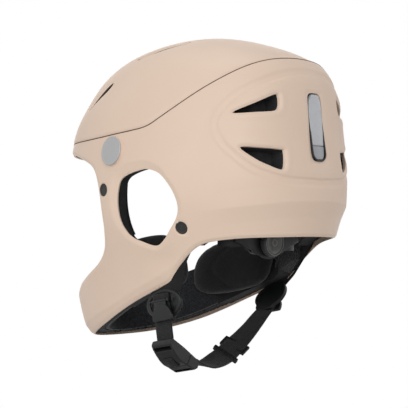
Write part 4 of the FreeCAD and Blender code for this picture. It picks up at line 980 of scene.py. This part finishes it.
def web(name, points, width=22.0, thick=1.8, y=-1.5, turn=None):
    """Flat webbing with soft edges, twisted by x; its uv is in millimetres along and across."""
    line, at = strap_run(points)
    tangent = np.gradient(line, axis=0)
    tangent /= np.linalg.norm(tangent, axis=1, keepdims=True)
    side = np.stack([tangent[:, 1], -tangent[:, 0]], 1)
    half = width / 2
    ring = []
    for w in np.linspace(-half + 0.6, half - 0.6, 14):
        ring.append((w, thick / 2 + 0.12 * math.cos(w * 2 * math.pi / 3.7)))
    ring += [(half - 0.15, thick * 0.36), (half, 0), (half - 0.15, -thick * 0.36)]
    for w in np.linspace(half - 0.6, -half + 0.6, 14):
        ring.append((w, -thick / 2 - 0.12 * math.cos(w * 2 * math.pi / 3.7)))
    ring += [(-half + 0.15, -thick * 0.36), (-half, 0), (-half + 0.15, thick * 0.36)]
    n = len(ring)
    verts = []
    for k, (x, z) in enumerate(line):
        a = math.radians(twist(x)) if turn else 0.0
        for w, h in ring:
            lift = h * math.cos(a) - w * math.sin(a)
            reach = w * math.cos(a) + h * math.sin(a)
            verts.append(((x + side[k, 0] * lift) * MM, (y + reach) * MM, (z + side[k, 1] * lift) * MM))
    faces = []
    for k in range(len(line) - 1):
        for i in range(n):
            j = (i + 1) % n
            faces.append((k * n + i, k * n + j, (k + 1) * n + j, (k + 1) * n + i))
    faces.append(tuple(range(n))[::-1])
    faces.append(tuple(range((len(line) - 1) * n, len(line) * n)))
    obj = new_object(name, verts, faces)
    layer = obj.data.uv_layers.new(name="UVMap")
    for loop in obj.data.loops:
        k, i = divmod(loop.vertex_index, n)
        layer.data[loop.index].uv = (at[k], ring[i][0])
    bm = bmesh.new()
    bm.from_mesh(obj.data)
    bmesh.ops.recalc_face_normals(bm, faces=bm.faces)
    bm.to_mesh(obj.data)
    bm.free()
    return obj


def twist(x):
    """Turn of the right webbing about its run, in degrees, where it passes x."""
    places = (-84, -60, -42, -25, -12, 3, 16, 30, 45, 56)
    return float(np.interp(x, places, (0, 9, 16, 27, 38, 46, 40, 26, 8, 0)))


def twisted(obj, x, z, run):
    """A strap fitting turned with the webbing about its run (x, z direction) at a point."""
    t = Vector((run[0], 0, run[1])).normalized()
    centre = Vector((x, WEB_Y, z)) * MM
    obj.data.transform(Matrix.Translation(centre) @ Matrix.Rotation(math.radians(twist(x)), 4, t)
                       @ Matrix.Translation(-centre))
    return obj


def lean(x, z):
    """Point of the right divider's frame swung about its hanging point."""
    a = math.radians(-36)
    dx, dz = x + 85, z + 110
    return (-85 + dx * math.cos(a) + dz * math.sin(a), -110 - dx * math.sin(a) + dz * math.cos(a))


def cloth_pad(name, node, wall, seam=None, voxel=5.0, cap=7.0, pressure=4.0, shrink=0.8):
    """Padded copy of a CAD pad: remeshed, swollen as cloth, capped and kept inside its wall."""
    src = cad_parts[node]
    mesh = src.data.copy()
    obj = bpy.data.objects.new(name, mesh)
    mesh.name = name
    bpy.context.scene.collection.objects.link(obj)
    bm = bmesh.new()
    bm.from_mesh(mesh)
    bmesh.ops.remove_doubles(bm, verts=bm.verts, dist=1e-6)
    bm.to_mesh(mesh)
    bm.free()
    mod = obj.modifiers.new("remesh", "REMESH")
    mod.mode = "VOXEL"
    mod.voxel_size = voxel * MM
    apply_all(obj)
    count = len(obj.data.vertices)
    start = np.empty(count * 3)
    obj.data.vertices.foreach_get("co", start)
    start = start.reshape(-1, 3)
    normals = np.empty(count * 3)
    obj.data.vertices.foreach_get("normal", normals)
    start = start - normals.reshape(-1, 3) * shrink * MM
    obj.data.vertices.foreach_set("co", start.ravel())
    obj.data.update()
    cloth = obj.modifiers.new("cloth", "CLOTH")
    cloth.settings.quality = 6
    cloth.settings.mass = 0.25
    cloth.settings.tension_stiffness = 22
    cloth.settings.compression_stiffness = 22
    cloth.settings.shear_stiffness = 10
    cloth.settings.bending_stiffness = 1.5
    cloth.settings.use_pressure = True
    cloth.settings.uniform_pressure_force = pressure
    cloth.settings.effector_weights.gravity = 0
    cloth.point_cache.frame_start = 1
    cloth.point_cache.frame_end = 20
    for f in range(1, 21):
        bpy.context.scene.frame_set(f)
    apply_all(obj)
    bpy.context.scene.frame_set(1)
    count = len(obj.data.vertices)
    swollen = np.empty(count * 3)
    obj.data.vertices.foreach_get("co", swollen)
    swollen = swollen.reshape(-1, 3)
    if len(swollen) != len(start):
        start = swollen
    move = swollen - start
    size = np.linalg.norm(move, axis=1, keepdims=True)
    move *= np.minimum(1, cap * MM / np.maximum(size, 1e-9))
    end = (start + move) / MM
    end = wall(end)
    if seam is not None:
        end = end + seam(end)
    obj.data.vertices.foreach_set("co", (end * MM).ravel())
    obj.data.update()
    mod = obj.modifiers.new("round", "SUBSURF")
    mod.levels = mod.render_levels = 1
    apply_all(obj)
    obj.data.polygons.foreach_set("use_smooth", [True] * len(obj.data.polygons))
    return obj


def egg_wall(egg, depth):
    """Keeps points at least a depth inside an egg-shaped wall."""
    def keep(p):
        front, rear, width, mid, nf, nr = egg.section(p[:, 2])
        ahead = p[:, 1] < mid
        reach = np.where(ahead, mid - front, rear - mid) - depth
        bend = np.where(ahead, nf, nr)
        share = (np.abs(p[:, 0]) / (width - depth)) ** bend + (np.abs(p[:, 1] - mid) / reach) ** bend
        scale = np.where(share > 1, share ** (-1 / bend), 1)
        out = p.copy()
        out[:, 0] *= scale
        out[:, 1] = mid + (p[:, 1] - mid) * scale
        return out
    return keep


# Helmet
def finish_cad_nodes():
    """Finishes of the solids that show as they are."""
    for node, key in {
        "seam_gasket": "gasket", "main_liner": "foam", "jaw_block_left": "foam", "jaw_block_right": "foam",
        "chin_lining": "lining", "seat_screws": "steel", "strap_bolts": "steel",
        "light_tray": "plastic", "light_board": "board", "light_lamps": "lamp", "light_cell": "cell",
        "fit_band_left": "plastic", "fit_band_right": "plastic",
        "cradle_hanger": "plastic", "divider_pins": "plastic",
    }.items():
        dress_node(node, key)


def make_shells():
    lower, crown = build_shells()
    for obj in (lower, crown):
        dress(obj, "paint")
    settle(lower, "helmet", None, "shell", "lower_shell")
    settle(crown, "helmet", None, "shell", "crown_shell")


def make_seats():
    point, out = skin_frame(-18.0, 29.5)
    for s, tag in ((1, "left"), (-1, "right")):
        spot, away_from = Vector((point.x * s, point.y, point.z)), Vector((out.x * s, out.y, out.z))
        boss = [(15.6, -5.5), (15.2, -1.2), (14.8, 0.2), (14.5, 1.5), (11.0, 1.55)]
        seat = lathe("seat_" + tag, rounded(boss, 0.5), spot, away_from)
        settle(seat, "helmet", "paint", "shell", "visor_seat_" + tag)
        plate = [(14.42, 1.62), (14.48, 2.2), (14.25, 2.6), (13.6, 2.78), (12.7, 2.74),
                 (12.35, 2.62), (11.9, 2.70), (6.0, 2.86), (0.02, 2.9)]
        disc = lathe("disc_" + tag, rounded(plate, 0.2), spot, away_from)
        settle(disc, "helmet", "disc", "disc", "brow_disc_" + tag)


def make_plugs():
    for (y, z), tag in zip(PLUGS, ("front", "rear")):
        point, out = skin_frame(y, z)
        pair = []
        for s in (1, -1):
            p, o = Vector((point.x * s, point.y, point.z)), Vector((out.x * s, out.y, out.z))
            profile = [(6.15, -3.1), (6.2, -1.4), (5.9, -0.95), (5.3, -0.85), (4.7, -1.05), (4.3, -1.35),
                       (2.2, -1.30), (0.02, -1.2)]
            pair.append(lathe("p", rounded(profile, 0.3), p, o, 64))
        settle(join(tag + "_plug_caps", pair), "helmet", "plug", "plug", tag + "_plugs")


def light_face(x, z):
    """Depth of the light's crowned face, a little proud of the skin."""
    return float(SKIN.rear_y(x * 0.4, z)) + 0.9 - (x / 9) ** 2 * 0.7


def make_light():
    """Lens and press key as crowned strips that follow the skin."""
    wide, tall, mid = 9.15, 32.3, 23.0
    split = mid - 33 + 15

    def strip(name, low, high):
        levels = np.linspace(low, high, 60)
        verts, faces, cols = [], [], 21
        for z in levels:
            end = (abs(z - mid) / tall) ** 5
            half = wide * (1 - min(end, 1)) ** 0.42
            for layer in (0, 1):
                for c in range(cols):
                    u = -1 + 2 * c / (cols - 1)
                    x = half * math.sin(u * math.pi / 2)
                    rim = ease(abs(u), 0.78, 1.0) * 0.7 + 0.9 * ease(abs(z - mid), tall - 2.0, tall)
                    tip = 0.5 * ease(min(abs(z - low), abs(z - high)), 0.9, 0.0)
                    y = light_face(x, z) - rim - tip if layer == 0 else 146.6 - 0.02 * abs(u)
                    verts.append((x * MM, y * MM, z * MM))
        row = 2 * cols
        for k in range(len(levels) - 1):
            a, b = k * row, (k + 1) * row
            for c in range(cols - 1):
                faces.append((a + c, a + c + 1, b + c + 1, b + c))
                faces.append((a + cols + c + 1, a + cols + c, b + cols + c, b + cols + c + 1))
            faces.append((a, b, b + cols, a + cols))
            faces.append((a + cols - 1, a + row - 1, b + row - 1, b + cols - 1))
        for a, flip in ((0, False), ((len(levels) - 1) * row, True)):
            ring = [a + c for c in range(cols)] + [a + cols + c for c in range(cols)][::-1]
            faces.append(tuple(ring[::-1] if flip else ring))
        obj = new_object(name, verts, faces)
        bm = bmesh.new()
        bm.from_mesh(obj.data)
        bmesh.ops.recalc_face_normals(bm, faces=bm.faces)
        bm.to_mesh(obj.data)
        bm.free()
        return angle_shade(obj, 50)

    settle(strip("light_strip", split + 0.25, mid + tall - 0.4), "helmet", "lens", "lens", "light_lens")
    settle(strip("light_key", mid - tall + 0.4, split - 0.15), "light_button_body", "lens_key", "lens_dark",
           "light_button")


def make_dial():
    a = math.radians(12)
    axis = Vector((0, math.cos(a), -math.sin(a)))
    centre = Vector((0, 72, -75.5))
    ribs = 30

    def grip(angle, i):
        return 0.022 * (1 - abs(math.sin(angle * ribs / 2)) ** 0.6) * -1 if 2 <= i <= 9 else 0

    profile = [(4.0, -5.1), (4.0, 0.35), (13.2, 0.4), (13.9, 0.9), (14.0, 2.2), (14.0, 4.2),
               (14.0, 5.4), (13.6, 6.5), (12.9, 7.3), (12.0, 7.7), (11.3, 7.55), (10.9, 7.1),
               (10.4, 6.9), (9.9, 7.2), (9.4, 7.25), (8.9, 6.9), (8.4, 6.3), (7.6, 6.2),
               (7.1, 6.5), (6.6, 6.55), (6.2, 6.1), (1.9, 6.05)]
    dial = lathe("ribbed_dial", profile, centre, axis, 240, grip)
    settle(dial, "fit_dial_body", "knob", "knob", "fit_dial")
    hub = [(3.9, 6.2), (4.0, 7.1), (3.5, 7.5), (2.7, 7.52), (2.4, 7.2), (1.3, 7.15), (1.1, 6.9),
           (0.02, 6.9)]
    head = lathe("dial_hub", rounded(hub, 0.2), centre, axis, 64)
    settle(head, "helmet", "rim", "knob", "dial_screw")
    # Painted highlights: thin light-grey beads on the dial's ridges stand in for the glints along them.
    bead = ((-0.28, -0.3), (-0.2, 0.12), (0.2, 0.12), (0.28, -0.3))
    highlight_beads = []
    for radius, height in ((12.35, 7.62), (9.65, 7.28), (6.85, 6.58)):
        highlight_beads.append(lathe("r", [(radius + r, height + h) for r, h in bead], centre, axis, 96))
    settle(join("dial_highlight_beads", highlight_beads), "fit_dial_body", "rim", "knob")
    shell = softened("dial_case", "dial_housing", 0.5, 5)
    settle(shell, "helmet", "plastic", "black_plastic", "dial_housing")


def make_pads():
    skin_wall = egg_wall(SKIN, 24.15)
    cavity_wall = egg_wall(CAVITY, 0.15)

    def seams_for(egg, turn, turn_half, z0, z_half, bend, ring_at, ribs):
        """Stitched line near the edge and shallow channels across the face."""
        def shift(p):
            front, rear, width, mid, nf, nr = egg.section(p[:, 2])
            ahead = p[:, 1] < mid
            reach = np.where(ahead, mid - front, rear - mid)
            bent = np.where(ahead, nf, nr)
            side = (np.abs(p[:, 0]) / width) ** (bent / 2)
            long = (np.abs(p[:, 1] - mid) / reach) ** (bent / 2) * np.where(ahead, 1, -1)
            angle = np.degrees(np.arctan2(side * np.sign(p[:, 0] + 1e-9), long))
            around = (np.mod(angle - turn + 180, 360) - 180) / turn_half
            up = (p[:, 2] - z0) / z_half
            share = (np.abs(around) ** (1 / bend) + np.abs(up) ** (1 / bend)) ** bend
            depth = (1 - (side ** 2 + long ** 2)) * reach
            face = ease(depth, np.min(depth) + 3, np.min(depth) + 8)
            dip = 1.3 * np.exp(-((share - ring_at) / 0.035) ** 2)
            for level in ribs:
                dip += 1.0 * np.exp(-((up - level) / 0.07) ** 2) * (share < ring_at)
            out = np.zeros_like(p)
            lean_out = np.stack([p[:, 0] / width, (p[:, 1] - mid) / reach, np.zeros(len(p))], 1)
            lean_out /= np.maximum(np.linalg.norm(lean_out, axis=1, keepdims=True), 1e-6)
            return out + lean_out * (dip * face)[:, None]
        return shift

    for s, tag in ((1, "left"), (-1, "right")):
        cheek = cloth_pad("cheek_cushion_" + tag, "cheek_pad_" + tag, skin_wall,
                          seams_for(SKIN, 77 * s, 22, -82, 29, 0.7, 0.84, ()), 4.0, 5.0)
        settle(cheek, "helmet", "pad", "cheek_cloth", "cheek_pad_" + tag)
        side = cloth_pad("side_cushion_" + tag, "side_pad_" + tag, cavity_wall,
                         seams_for(CAVITY, 93 * s, 24, 45, 16, 0.5, 0.84, (0.0,)), 4.0, 4.0)
        settle(side, "helmet", "pad", "padding", "side_pad_" + tag)
    brow = cloth_pad("brow_cushion", "brow_pad", cavity_wall,
                     seams_for(CAVITY, 0, 46, 71, 14, 0.5, 0.86, (0.0,)), 4.0, 4.0)
    settle(brow, "helmet", "pad", "padding", "brow_pad")
    rear = cloth_pad("rear_cushion", "rear_pad", cavity_wall,
                     seams_for(CAVITY, 180, 40, 2, 20, 0.5, 0.86, (-0.33, 0.33)), 4.0, 4.0)
    settle(rear, "helmet", "pad", "padding", "rear_pad")

    def under_crown(p):
        out = p.copy()
        spread = (p[:, 0] / 36.5) ** 2 + (p[:, 1] / 52.4) ** 2
        out[:, 2] = np.minimum(p[:, 2], 112.5 - 9.6 * spread)
        return out

    def crown_seams(p):
        share = np.hypot(p[:, 0] / 36.5, p[:, 1] / 52.4)
        spread = share ** 2
        face = ease(112.7 - 9.6 * spread - p[:, 2], 3, 7)
        dip = 1.2 * np.exp(-((share - 0.82) / 0.035) ** 2)
        dip = dip + 1.0 * np.exp(-(p[:, 1] / 2.0) ** 2) * (share < 0.82)
        out = np.zeros_like(p)
        out[:, 2] = dip * face
        return out

    crown = cloth_pad("crown_cushion", "crown_pad", under_crown, crown_seams, 4.0, 4.0)
    settle(crown, "helmet", "pad", "padding", "crown_pad")

    a = math.radians(12)
    normal = np.array([0, math.cos(a), -math.sin(a)])
    centre = np.array([0, 72, -75.5])

    def ahead_of_housing(p):
        h = (p - centre) @ normal
        return p - np.maximum(h + 8.15, 0)[:, None] * normal

    nape = cloth_pad("nape_cushion", "nape_pad", ahead_of_housing, None, 3.0, 3.0)
    settle(nape, "helmet", "pad", "padding", "nape_pad")


BUCKLE = (91.0, WEB_Y, -161.0)
TURN = math.radians(144.5)
BUCKLE_AXES = ((math.cos(TURN), 0, -math.sin(TURN)), (math.sin(TURN), 0, math.cos(TURN)))


def turned_right(obj):
    """Mirror a left divider piece and swing it to the right divider."""
    for v in obj.data.vertices:
        x, z = lean(-v.co.x / MM, v.co.z / MM)
        v.co = Vector((x * MM, v.co.y, z * MM))
    return faced(obj)


def faced(obj):
    """Normals that point out of a closed mesh."""
    bm = bmesh.new()
    bm.from_mesh(obj.data)
    bmesh.ops.recalc_face_normals(bm, faces=bm.faces)
    bm.to_mesh(obj.data)
    bm.free()
    return obj


def even(line, count):
    """Smooth line through points, at even steps."""
    fine = smooth(np.array(line, float) / SPAN, False, 12)
    run = np.concatenate([[0], np.cumsum(np.linalg.norm(np.diff(fine, axis=0), axis=1))])
    at = np.linspace(0, run[-1], count)
    return np.stack([np.interp(at, run, fine[:, k]) for k in (0, 1)], 1)


def ribbon(name, front, rear, side, outer, inner, rows=70, cols=17):
    """Soft strip under the skin between two side-view edges; depths are functions of (along, across)."""
    front, rear = even(front, rows), even(rear, rows)
    verts = []
    for k in range(rows):
        u = k / (rows - 1)
        for layer in (outer, inner):
            for c in range(cols):
                w = math.sin((c / (cols - 1) - 0.5) * math.pi)
                y, z = front[k] + (rear[k] - front[k]) * (w + 1) / 2
                point, out = skin_frame(y, z)
                p = point - out * layer(u, w)
                verts.append((p.x * side * MM, p.y * MM, p.z * MM))
    faces = []
    row = 2 * cols
    for k in range(rows - 1):
        a, b = k * row, (k + 1) * row
        for c in range(cols - 1):
            faces.append((a + c, a + c + 1, b + c + 1, b + c))
            faces.append((a + cols + c + 1, a + cols + c, b + cols + c, b + cols + c + 1))
        faces.append((a, b, b + cols, a + cols))
        faces.append((a + cols - 1, a + row - 1, b + row - 1, b + cols - 1))
    for a in (0, (rows - 1) * row):
        faces.append(tuple([a + c for c in range(cols)] + [a + cols + c for c in range(cols)][::-1]))
    return angle_shade(faced(new_object(name, verts, faces)), 60)


def under_straps():
    """Fabric straps from the bolts under the shell to the dividers."""
    def outer(u, w):
        return 3.45 + 2.6 * ease(u, 0.72, 1.0) + 0.25 * w ** 4

    def inner(u, w):
        return outer(u, w) + 1.5 * (1 - abs(w) ** 6) ** 0.5 + 0.12

    for s, tag, low in ((1, "left", [(42, -90), (35, -101), (30, -110), (24, -116)]),
                        (-1, "right", [(38, -91), (27, -101), (17, -109), (9, -115)])):
        edge = [(45, -60), (34, -72), (17, -84), (2, -94), (-8, -103), (-12, -112)]
        rear = ribbon("rear_webbing_" + tag, edge, [(59, -56), (54, -76)] + low, s, outer, inner)
        settle(rear, "helmet", "strap", "webbing", "rear_strap_" + tag)
        front = ribbon("front_webbing_" + tag, [(-45, -6), (-48, -45), (-38, -77), (-24, -97), (-13, -115)],
                       [(-29, -4), (-32, -44), (-22, -72), (-6, -95), (6, -115)], s, outer, inner)
        settle(front, "helmet", "strap", "webbing", "front_strap_" + tag)


def jaw_tails():
    """Rounded fabric end of the jaw padding, from the foam to the shell."""
    ends = (17.0, 35.0)
    rim_y, rim_z = [a * 100 for a, b in RIM[::-1]], [b * 100 for a, b in RIM[::-1]]

    def edge(lift):
        return [(y, float(np.interp(y, rim_y, rim_z)) + lift) for y in np.linspace(ends[0], ends[1], 9)]

    def inner(u, w):
        return 4.2 + (19.6 - 3.0 * abs(w) ** 4) * max(1 - u ** 2.2, 0) ** 0.5

    for s, tag in ((1, "left"), (-1, "right")):
        top = [(17.0, -79.0), (25.0, -75.0), (35.0, -68.5)]
        tail = ribbon("jaw_tail_" + tag, edge(1.4), top, s, lambda u, w: 3.4, inner, 24, 21)
        settle(tail, "helmet", "mesh", "padding")


def chin_foam(inset=1.2):
    """Chin block with soft edges, drawn in under the rounded rim of the shell."""
    obj = softened("chin_foam", "chin_block", 1.2, 3)
    bm = bmesh.new()
    bm.from_mesh(obj.data)
    # each point moves in along the normal that its moved neighbours leave it
    for v in bm.verts:
        for face in v.link_faces:
            face.normal_update()
        v.normal_update()
        v.co -= v.normal * inset * MM
    bm.to_mesh(obj.data)
    bm.free()
    settle(obj, "helmet", "foam", "padding", "chin_block")


def divider_ring(semis, centre):
    """Rounded oval ring that the upper straps pass through."""
    (ay, az, by, bz), (cy, cz) = semis, centre
    verts, faces, n, m = [], [], 72, 16
    for k in range(n):
        a = 2 * math.pi * k / n
        for i in range(m):
            t = 2 * math.pi * i / m
            radial = math.copysign(abs(math.cos(t)) ** 0.7, math.cos(t))
            across = math.copysign(abs(math.sin(t)) ** 0.7, math.sin(t))
            y = (ay + by) / 2 + (ay - by) / 2 * radial
            z = (az + bz) / 2 + (az - bz) / 2 * radial
            point = (82.9 + 1.9 * across, cy + y * math.cos(a), cz + z * math.sin(a))
            verts.append(tuple(c * MM for c in point))
    for k in range(n):
        for i in range(m):
            a, b = k * m, (k + 1) % n * m
            faces.append((a + i, a + (i + 1) % m, b + (i + 1) % m, b + i))
    return faced(new_object("ring", verts, faces))


def cam_dome():
    """Round-topped lever with its hinge barrel."""
    r, cy, top, foot = 13.0, 1.2, -124.0, -140.5
    arc = [(cy + r * math.cos(a), top - r + r * math.sin(a)) for a in np.linspace(0, math.pi, 33)]
    line = rounded([(cy, foot), (cy + r, foot), arc[0]], 2.2)[:-1] + arc
    line += rounded([arc[-1], (cy - r, foot), (cy, foot)], 2.2)[1:-1]
    dome = prism("dome", line, "x", 86.0, 89.2)
    line = [(cy - 9.5, -120.6), (cy + 6.0, -120.6), (cy + 6.5, -128), (cy - 9.5, -128)]
    neck = prism("neck", line, "x", 86.3, 88.3)
    barrel = tube("barrel", (87.2, -10.9, -121.0), (0, 1, 0), 1.5, 18.8)
    parts = []
    for obj, width in ((dome, 0.9), (neck, 0.4), (barrel, 0.3)):
        bm = bmesh.new()
        bm.from_mesh(obj.data)
        bmesh.ops.recalc_face_normals(bm, faces=bm.faces)
        bmesh.ops.dissolve_limit(bm, angle_limit=0.01, verts=bm.verts, edges=bm.edges)
        edges = [e for e in bm.edges if len(e.link_faces) == 2 and e.calc_face_angle(0) > 0.9]
        bmesh.ops.bevel(bm, geom=edges, offset=width * MM, segments=3, profile=0.6, affect="EDGES",
                        clamp_overlap=True)
        bm.to_mesh(obj.data)
        bm.free()
        parts.append(angle_shade(obj, 35))
    return join("dome", parts)


def make_straps():
    web_x, start_z = 84.2, -113.9
    low_x, low_z = 91.0, -161.0
    left = [(web_x, start_z), (web_x, -124), (web_x, -136), (web_x + 0.54, -148.5),
            (low_x - 43 * 0.144, low_z + 10 * 0.22), (low_x - 43 * 0.098, low_z - 10 * 0.34)]
    settle(web("web_left_band", left), "helmet", "webbing", "webbing", "web_left")
    right = [(60.7, -183.6), (59.0, -181.4), (55.5, -180.6), (50.5, -182.6), (42, -185.2),
             (30, -185.2), (16, -181.5), (3, -176.5), (-10, -169.2), (-25, -160.5),
             (-41, -150.0), (-54.5, -140.2)]
    for z in (-134.0, -124.0, -114.1):
        right.append(lean(-web_x, z))
    settle(web("web_right_band", right, turn=True), "helmet", "webbing", "webbing", "web_right")
    keeper = twisted(softened("keeper_loop", "strap_keeper", 0.35, 4), 3.0, -176.5, (-0.88, 0.48))
    settle(keeper, "helmet", "plastic", "black_plastic", "strap_keeper")
    slider = softened("slider_frame", "strap_slider", 0.4, 4)
    up = Vector((0.51, 0, 0.86))
    middle = Vector((-12.0, WEB_Y, -168.0)) * MM
    for v in slider.data.vertices:
        v.co -= up * ((v.co - middle).dot(up) * 0.4 + 0.7 * MM)
    twisted(slider, -12.0, -168.0, (-0.86, 0.51))
    settle(slider, "helmet", "plastic", "black_plastic", "strap_slider")
    for tag, semis, ring_y in (("left", (24.0, 14.5, 18.6, 10.8), 1.0),
                               ("right", (16.5, 13.5, 12.5, 10.2), -5.0)):
        plate = softened("p", "divider_plate_" + tag, 0.4, 5)
        ring = divider_ring(semis, (ring_y, -124.0))
        dome = cam_dome()
        dome.name = "cam_" + tag
        if tag == "right":
            ring = turned_right(ring)
            turned_right(dome)
        pair = join("divider_" + tag, [plate, ring])
        settle(pair, "helmet", "plastic", "black_plastic", "divider_plate_" + tag)
        settle(dome, "divider_cam_%s_body" % tag, "plastic", "cam", "divider_cam_" + tag)


def fuller(obj):
    """Deeper belly on the buckle's outer side, towards its far end."""
    s_axis, h_axis = (np.array(v) for v in BUCKLE_AXES)
    for v in obj.data.vertices:
        p = np.array(v.co) / MM - BUCKLE
        along, h = p @ s_axis, p @ h_axis
        lift = 4.6 * float(ease(along, 2.0, 24.0)) * min(max(h / 2.5, 0.0), 1.0)
        v.co += Vector(h_axis * lift * MM)
    return obj


def make_buckle():
    body = softened("buckle_case", "buckle_body", 0.4, 5)
    settle(fuller(body), "helmet", "plastic", "black_plastic", "buckle_body")
    tongue = softened("buckle_blade", "buckle_tongue", 0.4, 4)
    settle(fuller(tongue), "helmet", "plastic", "black_plastic", "buckle_tongue")
    ribs = []
    top = 6.36
    for k in range(5):
        s = 14.62 + 1.6 + k * 2.2
        outline = [(s - 0.5, top - 0.4), (s + 0.5, top - 0.4), (s + 0.35, top + 0.35), (s - 0.35, top + 0.35)]
        ribs.append(slab("r", outline, 4.6, BUCKLE_AXES, BUCKLE, 0.12))
    key = softened("k", "buckle_key", 0.35, 3)
    settle(fuller(join("buckle_press_key", [key] + ribs)), "buckle_key_body", "plastic", "key", "buckle_key")


# Studio
def make_floor():
    """Pale round floor that fades out, just under the straps."""
    low = -0.275
    bpy.ops.mesh.primitive_circle_add(vertices=96, radius=0.80, fill_type="NGON", location=(0, 0, low))
    floor = bpy.context.object
    floor.name = "studio_floor"
    m = Mat("floor_finish", (0.86, 0.86, 0.86), 0.8)
    m.bsdf.inputs["Specular IOR Level"].default_value = 0.1
    m.bump(m.noise(500, 2), 0.03, 0.0002)
    far = m.node("ShaderNodeVectorMath", {0: m.coord}, operation="LENGTH").outputs["Value"]
    clear = m.node("ShaderNodeBsdfTransparent").outputs[0]
    out = m.tree.nodes["Material Output"]
    mix = m.tree.nodes.new("ShaderNodeMixShader")
    m.tree.links.new(m.range(far, 0.45, 0.75, 0.0, 1.0), mix.inputs[0])
    m.tree.links.new(m.bsdf.outputs[0], mix.inputs[1])
    m.tree.links.new(clear, mix.inputs[2])
    m.tree.links.new(mix.outputs[0], out.inputs["Surface"])
    floor.data.materials.append(m.mat)


def make_world():
    world = bpy.data.worlds.new("studio")
    bpy.context.scene.world = world
    world.use_nodes = True
    tree = world.node_tree
    back = tree.nodes["Background"]
    back.inputs["Color"].default_value = (1, 1, 1, 1)
    path = tree.nodes.new("ShaderNodeLightPath")
    most = tree.nodes.new("ShaderNodeMath")
    most.operation = "MAXIMUM"
    tree.links.new(path.outputs["Is Camera Ray"], most.inputs[0])
    glass = tree.nodes.new("ShaderNodeMath")
    glass.operation = "MAXIMUM"
    tree.links.new(path.outputs["Is Glossy Ray"], glass.inputs[0])
    tree.links.new(path.outputs["Is Transmission Ray"], glass.inputs[1])
    tree.links.new(glass.outputs[0], most.inputs[1])
    power_of = tree.nodes.new("ShaderNodeMapRange")
    power_of.inputs["To Min"].default_value = WORLD_LIGHT
    power_of.inputs["To Max"].default_value = 1.0
    tree.links.new(most.outputs[0], power_of.inputs["Value"])
    tree.links.new(power_of.outputs[0], back.inputs["Strength"])


WORLD_LIGHT = 0.36


def lamp(name, place, energy, size, aim=(0, 0, 0)):
    data = bpy.data.lights.new(name, "AREA")
    data.energy = energy
    data.size = size
    obj = bpy.data.objects.new(name, data)
    bpy.context.scene.collection.objects.link(obj)
    obj.location = place
    obj.rotation_euler = (Vector(aim) - Vector(place)).to_track_quat("-Z", "Y").to_euler()


def make_lights():
    lamp("key", (1.34, 1.34, 0.40), 12.5, 1.3)
    lamp("side", (1.86, 0.0, 0.40), 8.5, 1.3)
    lamp("top", (0.0, 0.0, 1.9), 6.0, 1.4)
    lamp("front", (-1.30, -1.30, 0.49), 3.0, 1.3)
    lamp("far", (-1.30, 1.30, 0.49), 3.5, 1.3)


make_shells()
make_seats()
make_plugs()
make_light()
make_dial()
finish_cad_nodes()
make_pads()
under_straps()
jaw_tails()
chin_foam()
make_straps()
make_buckle()
make_floor()
make_world()
make_lights()
bpy.context.scene.view_settings.view_transform = "Standard"
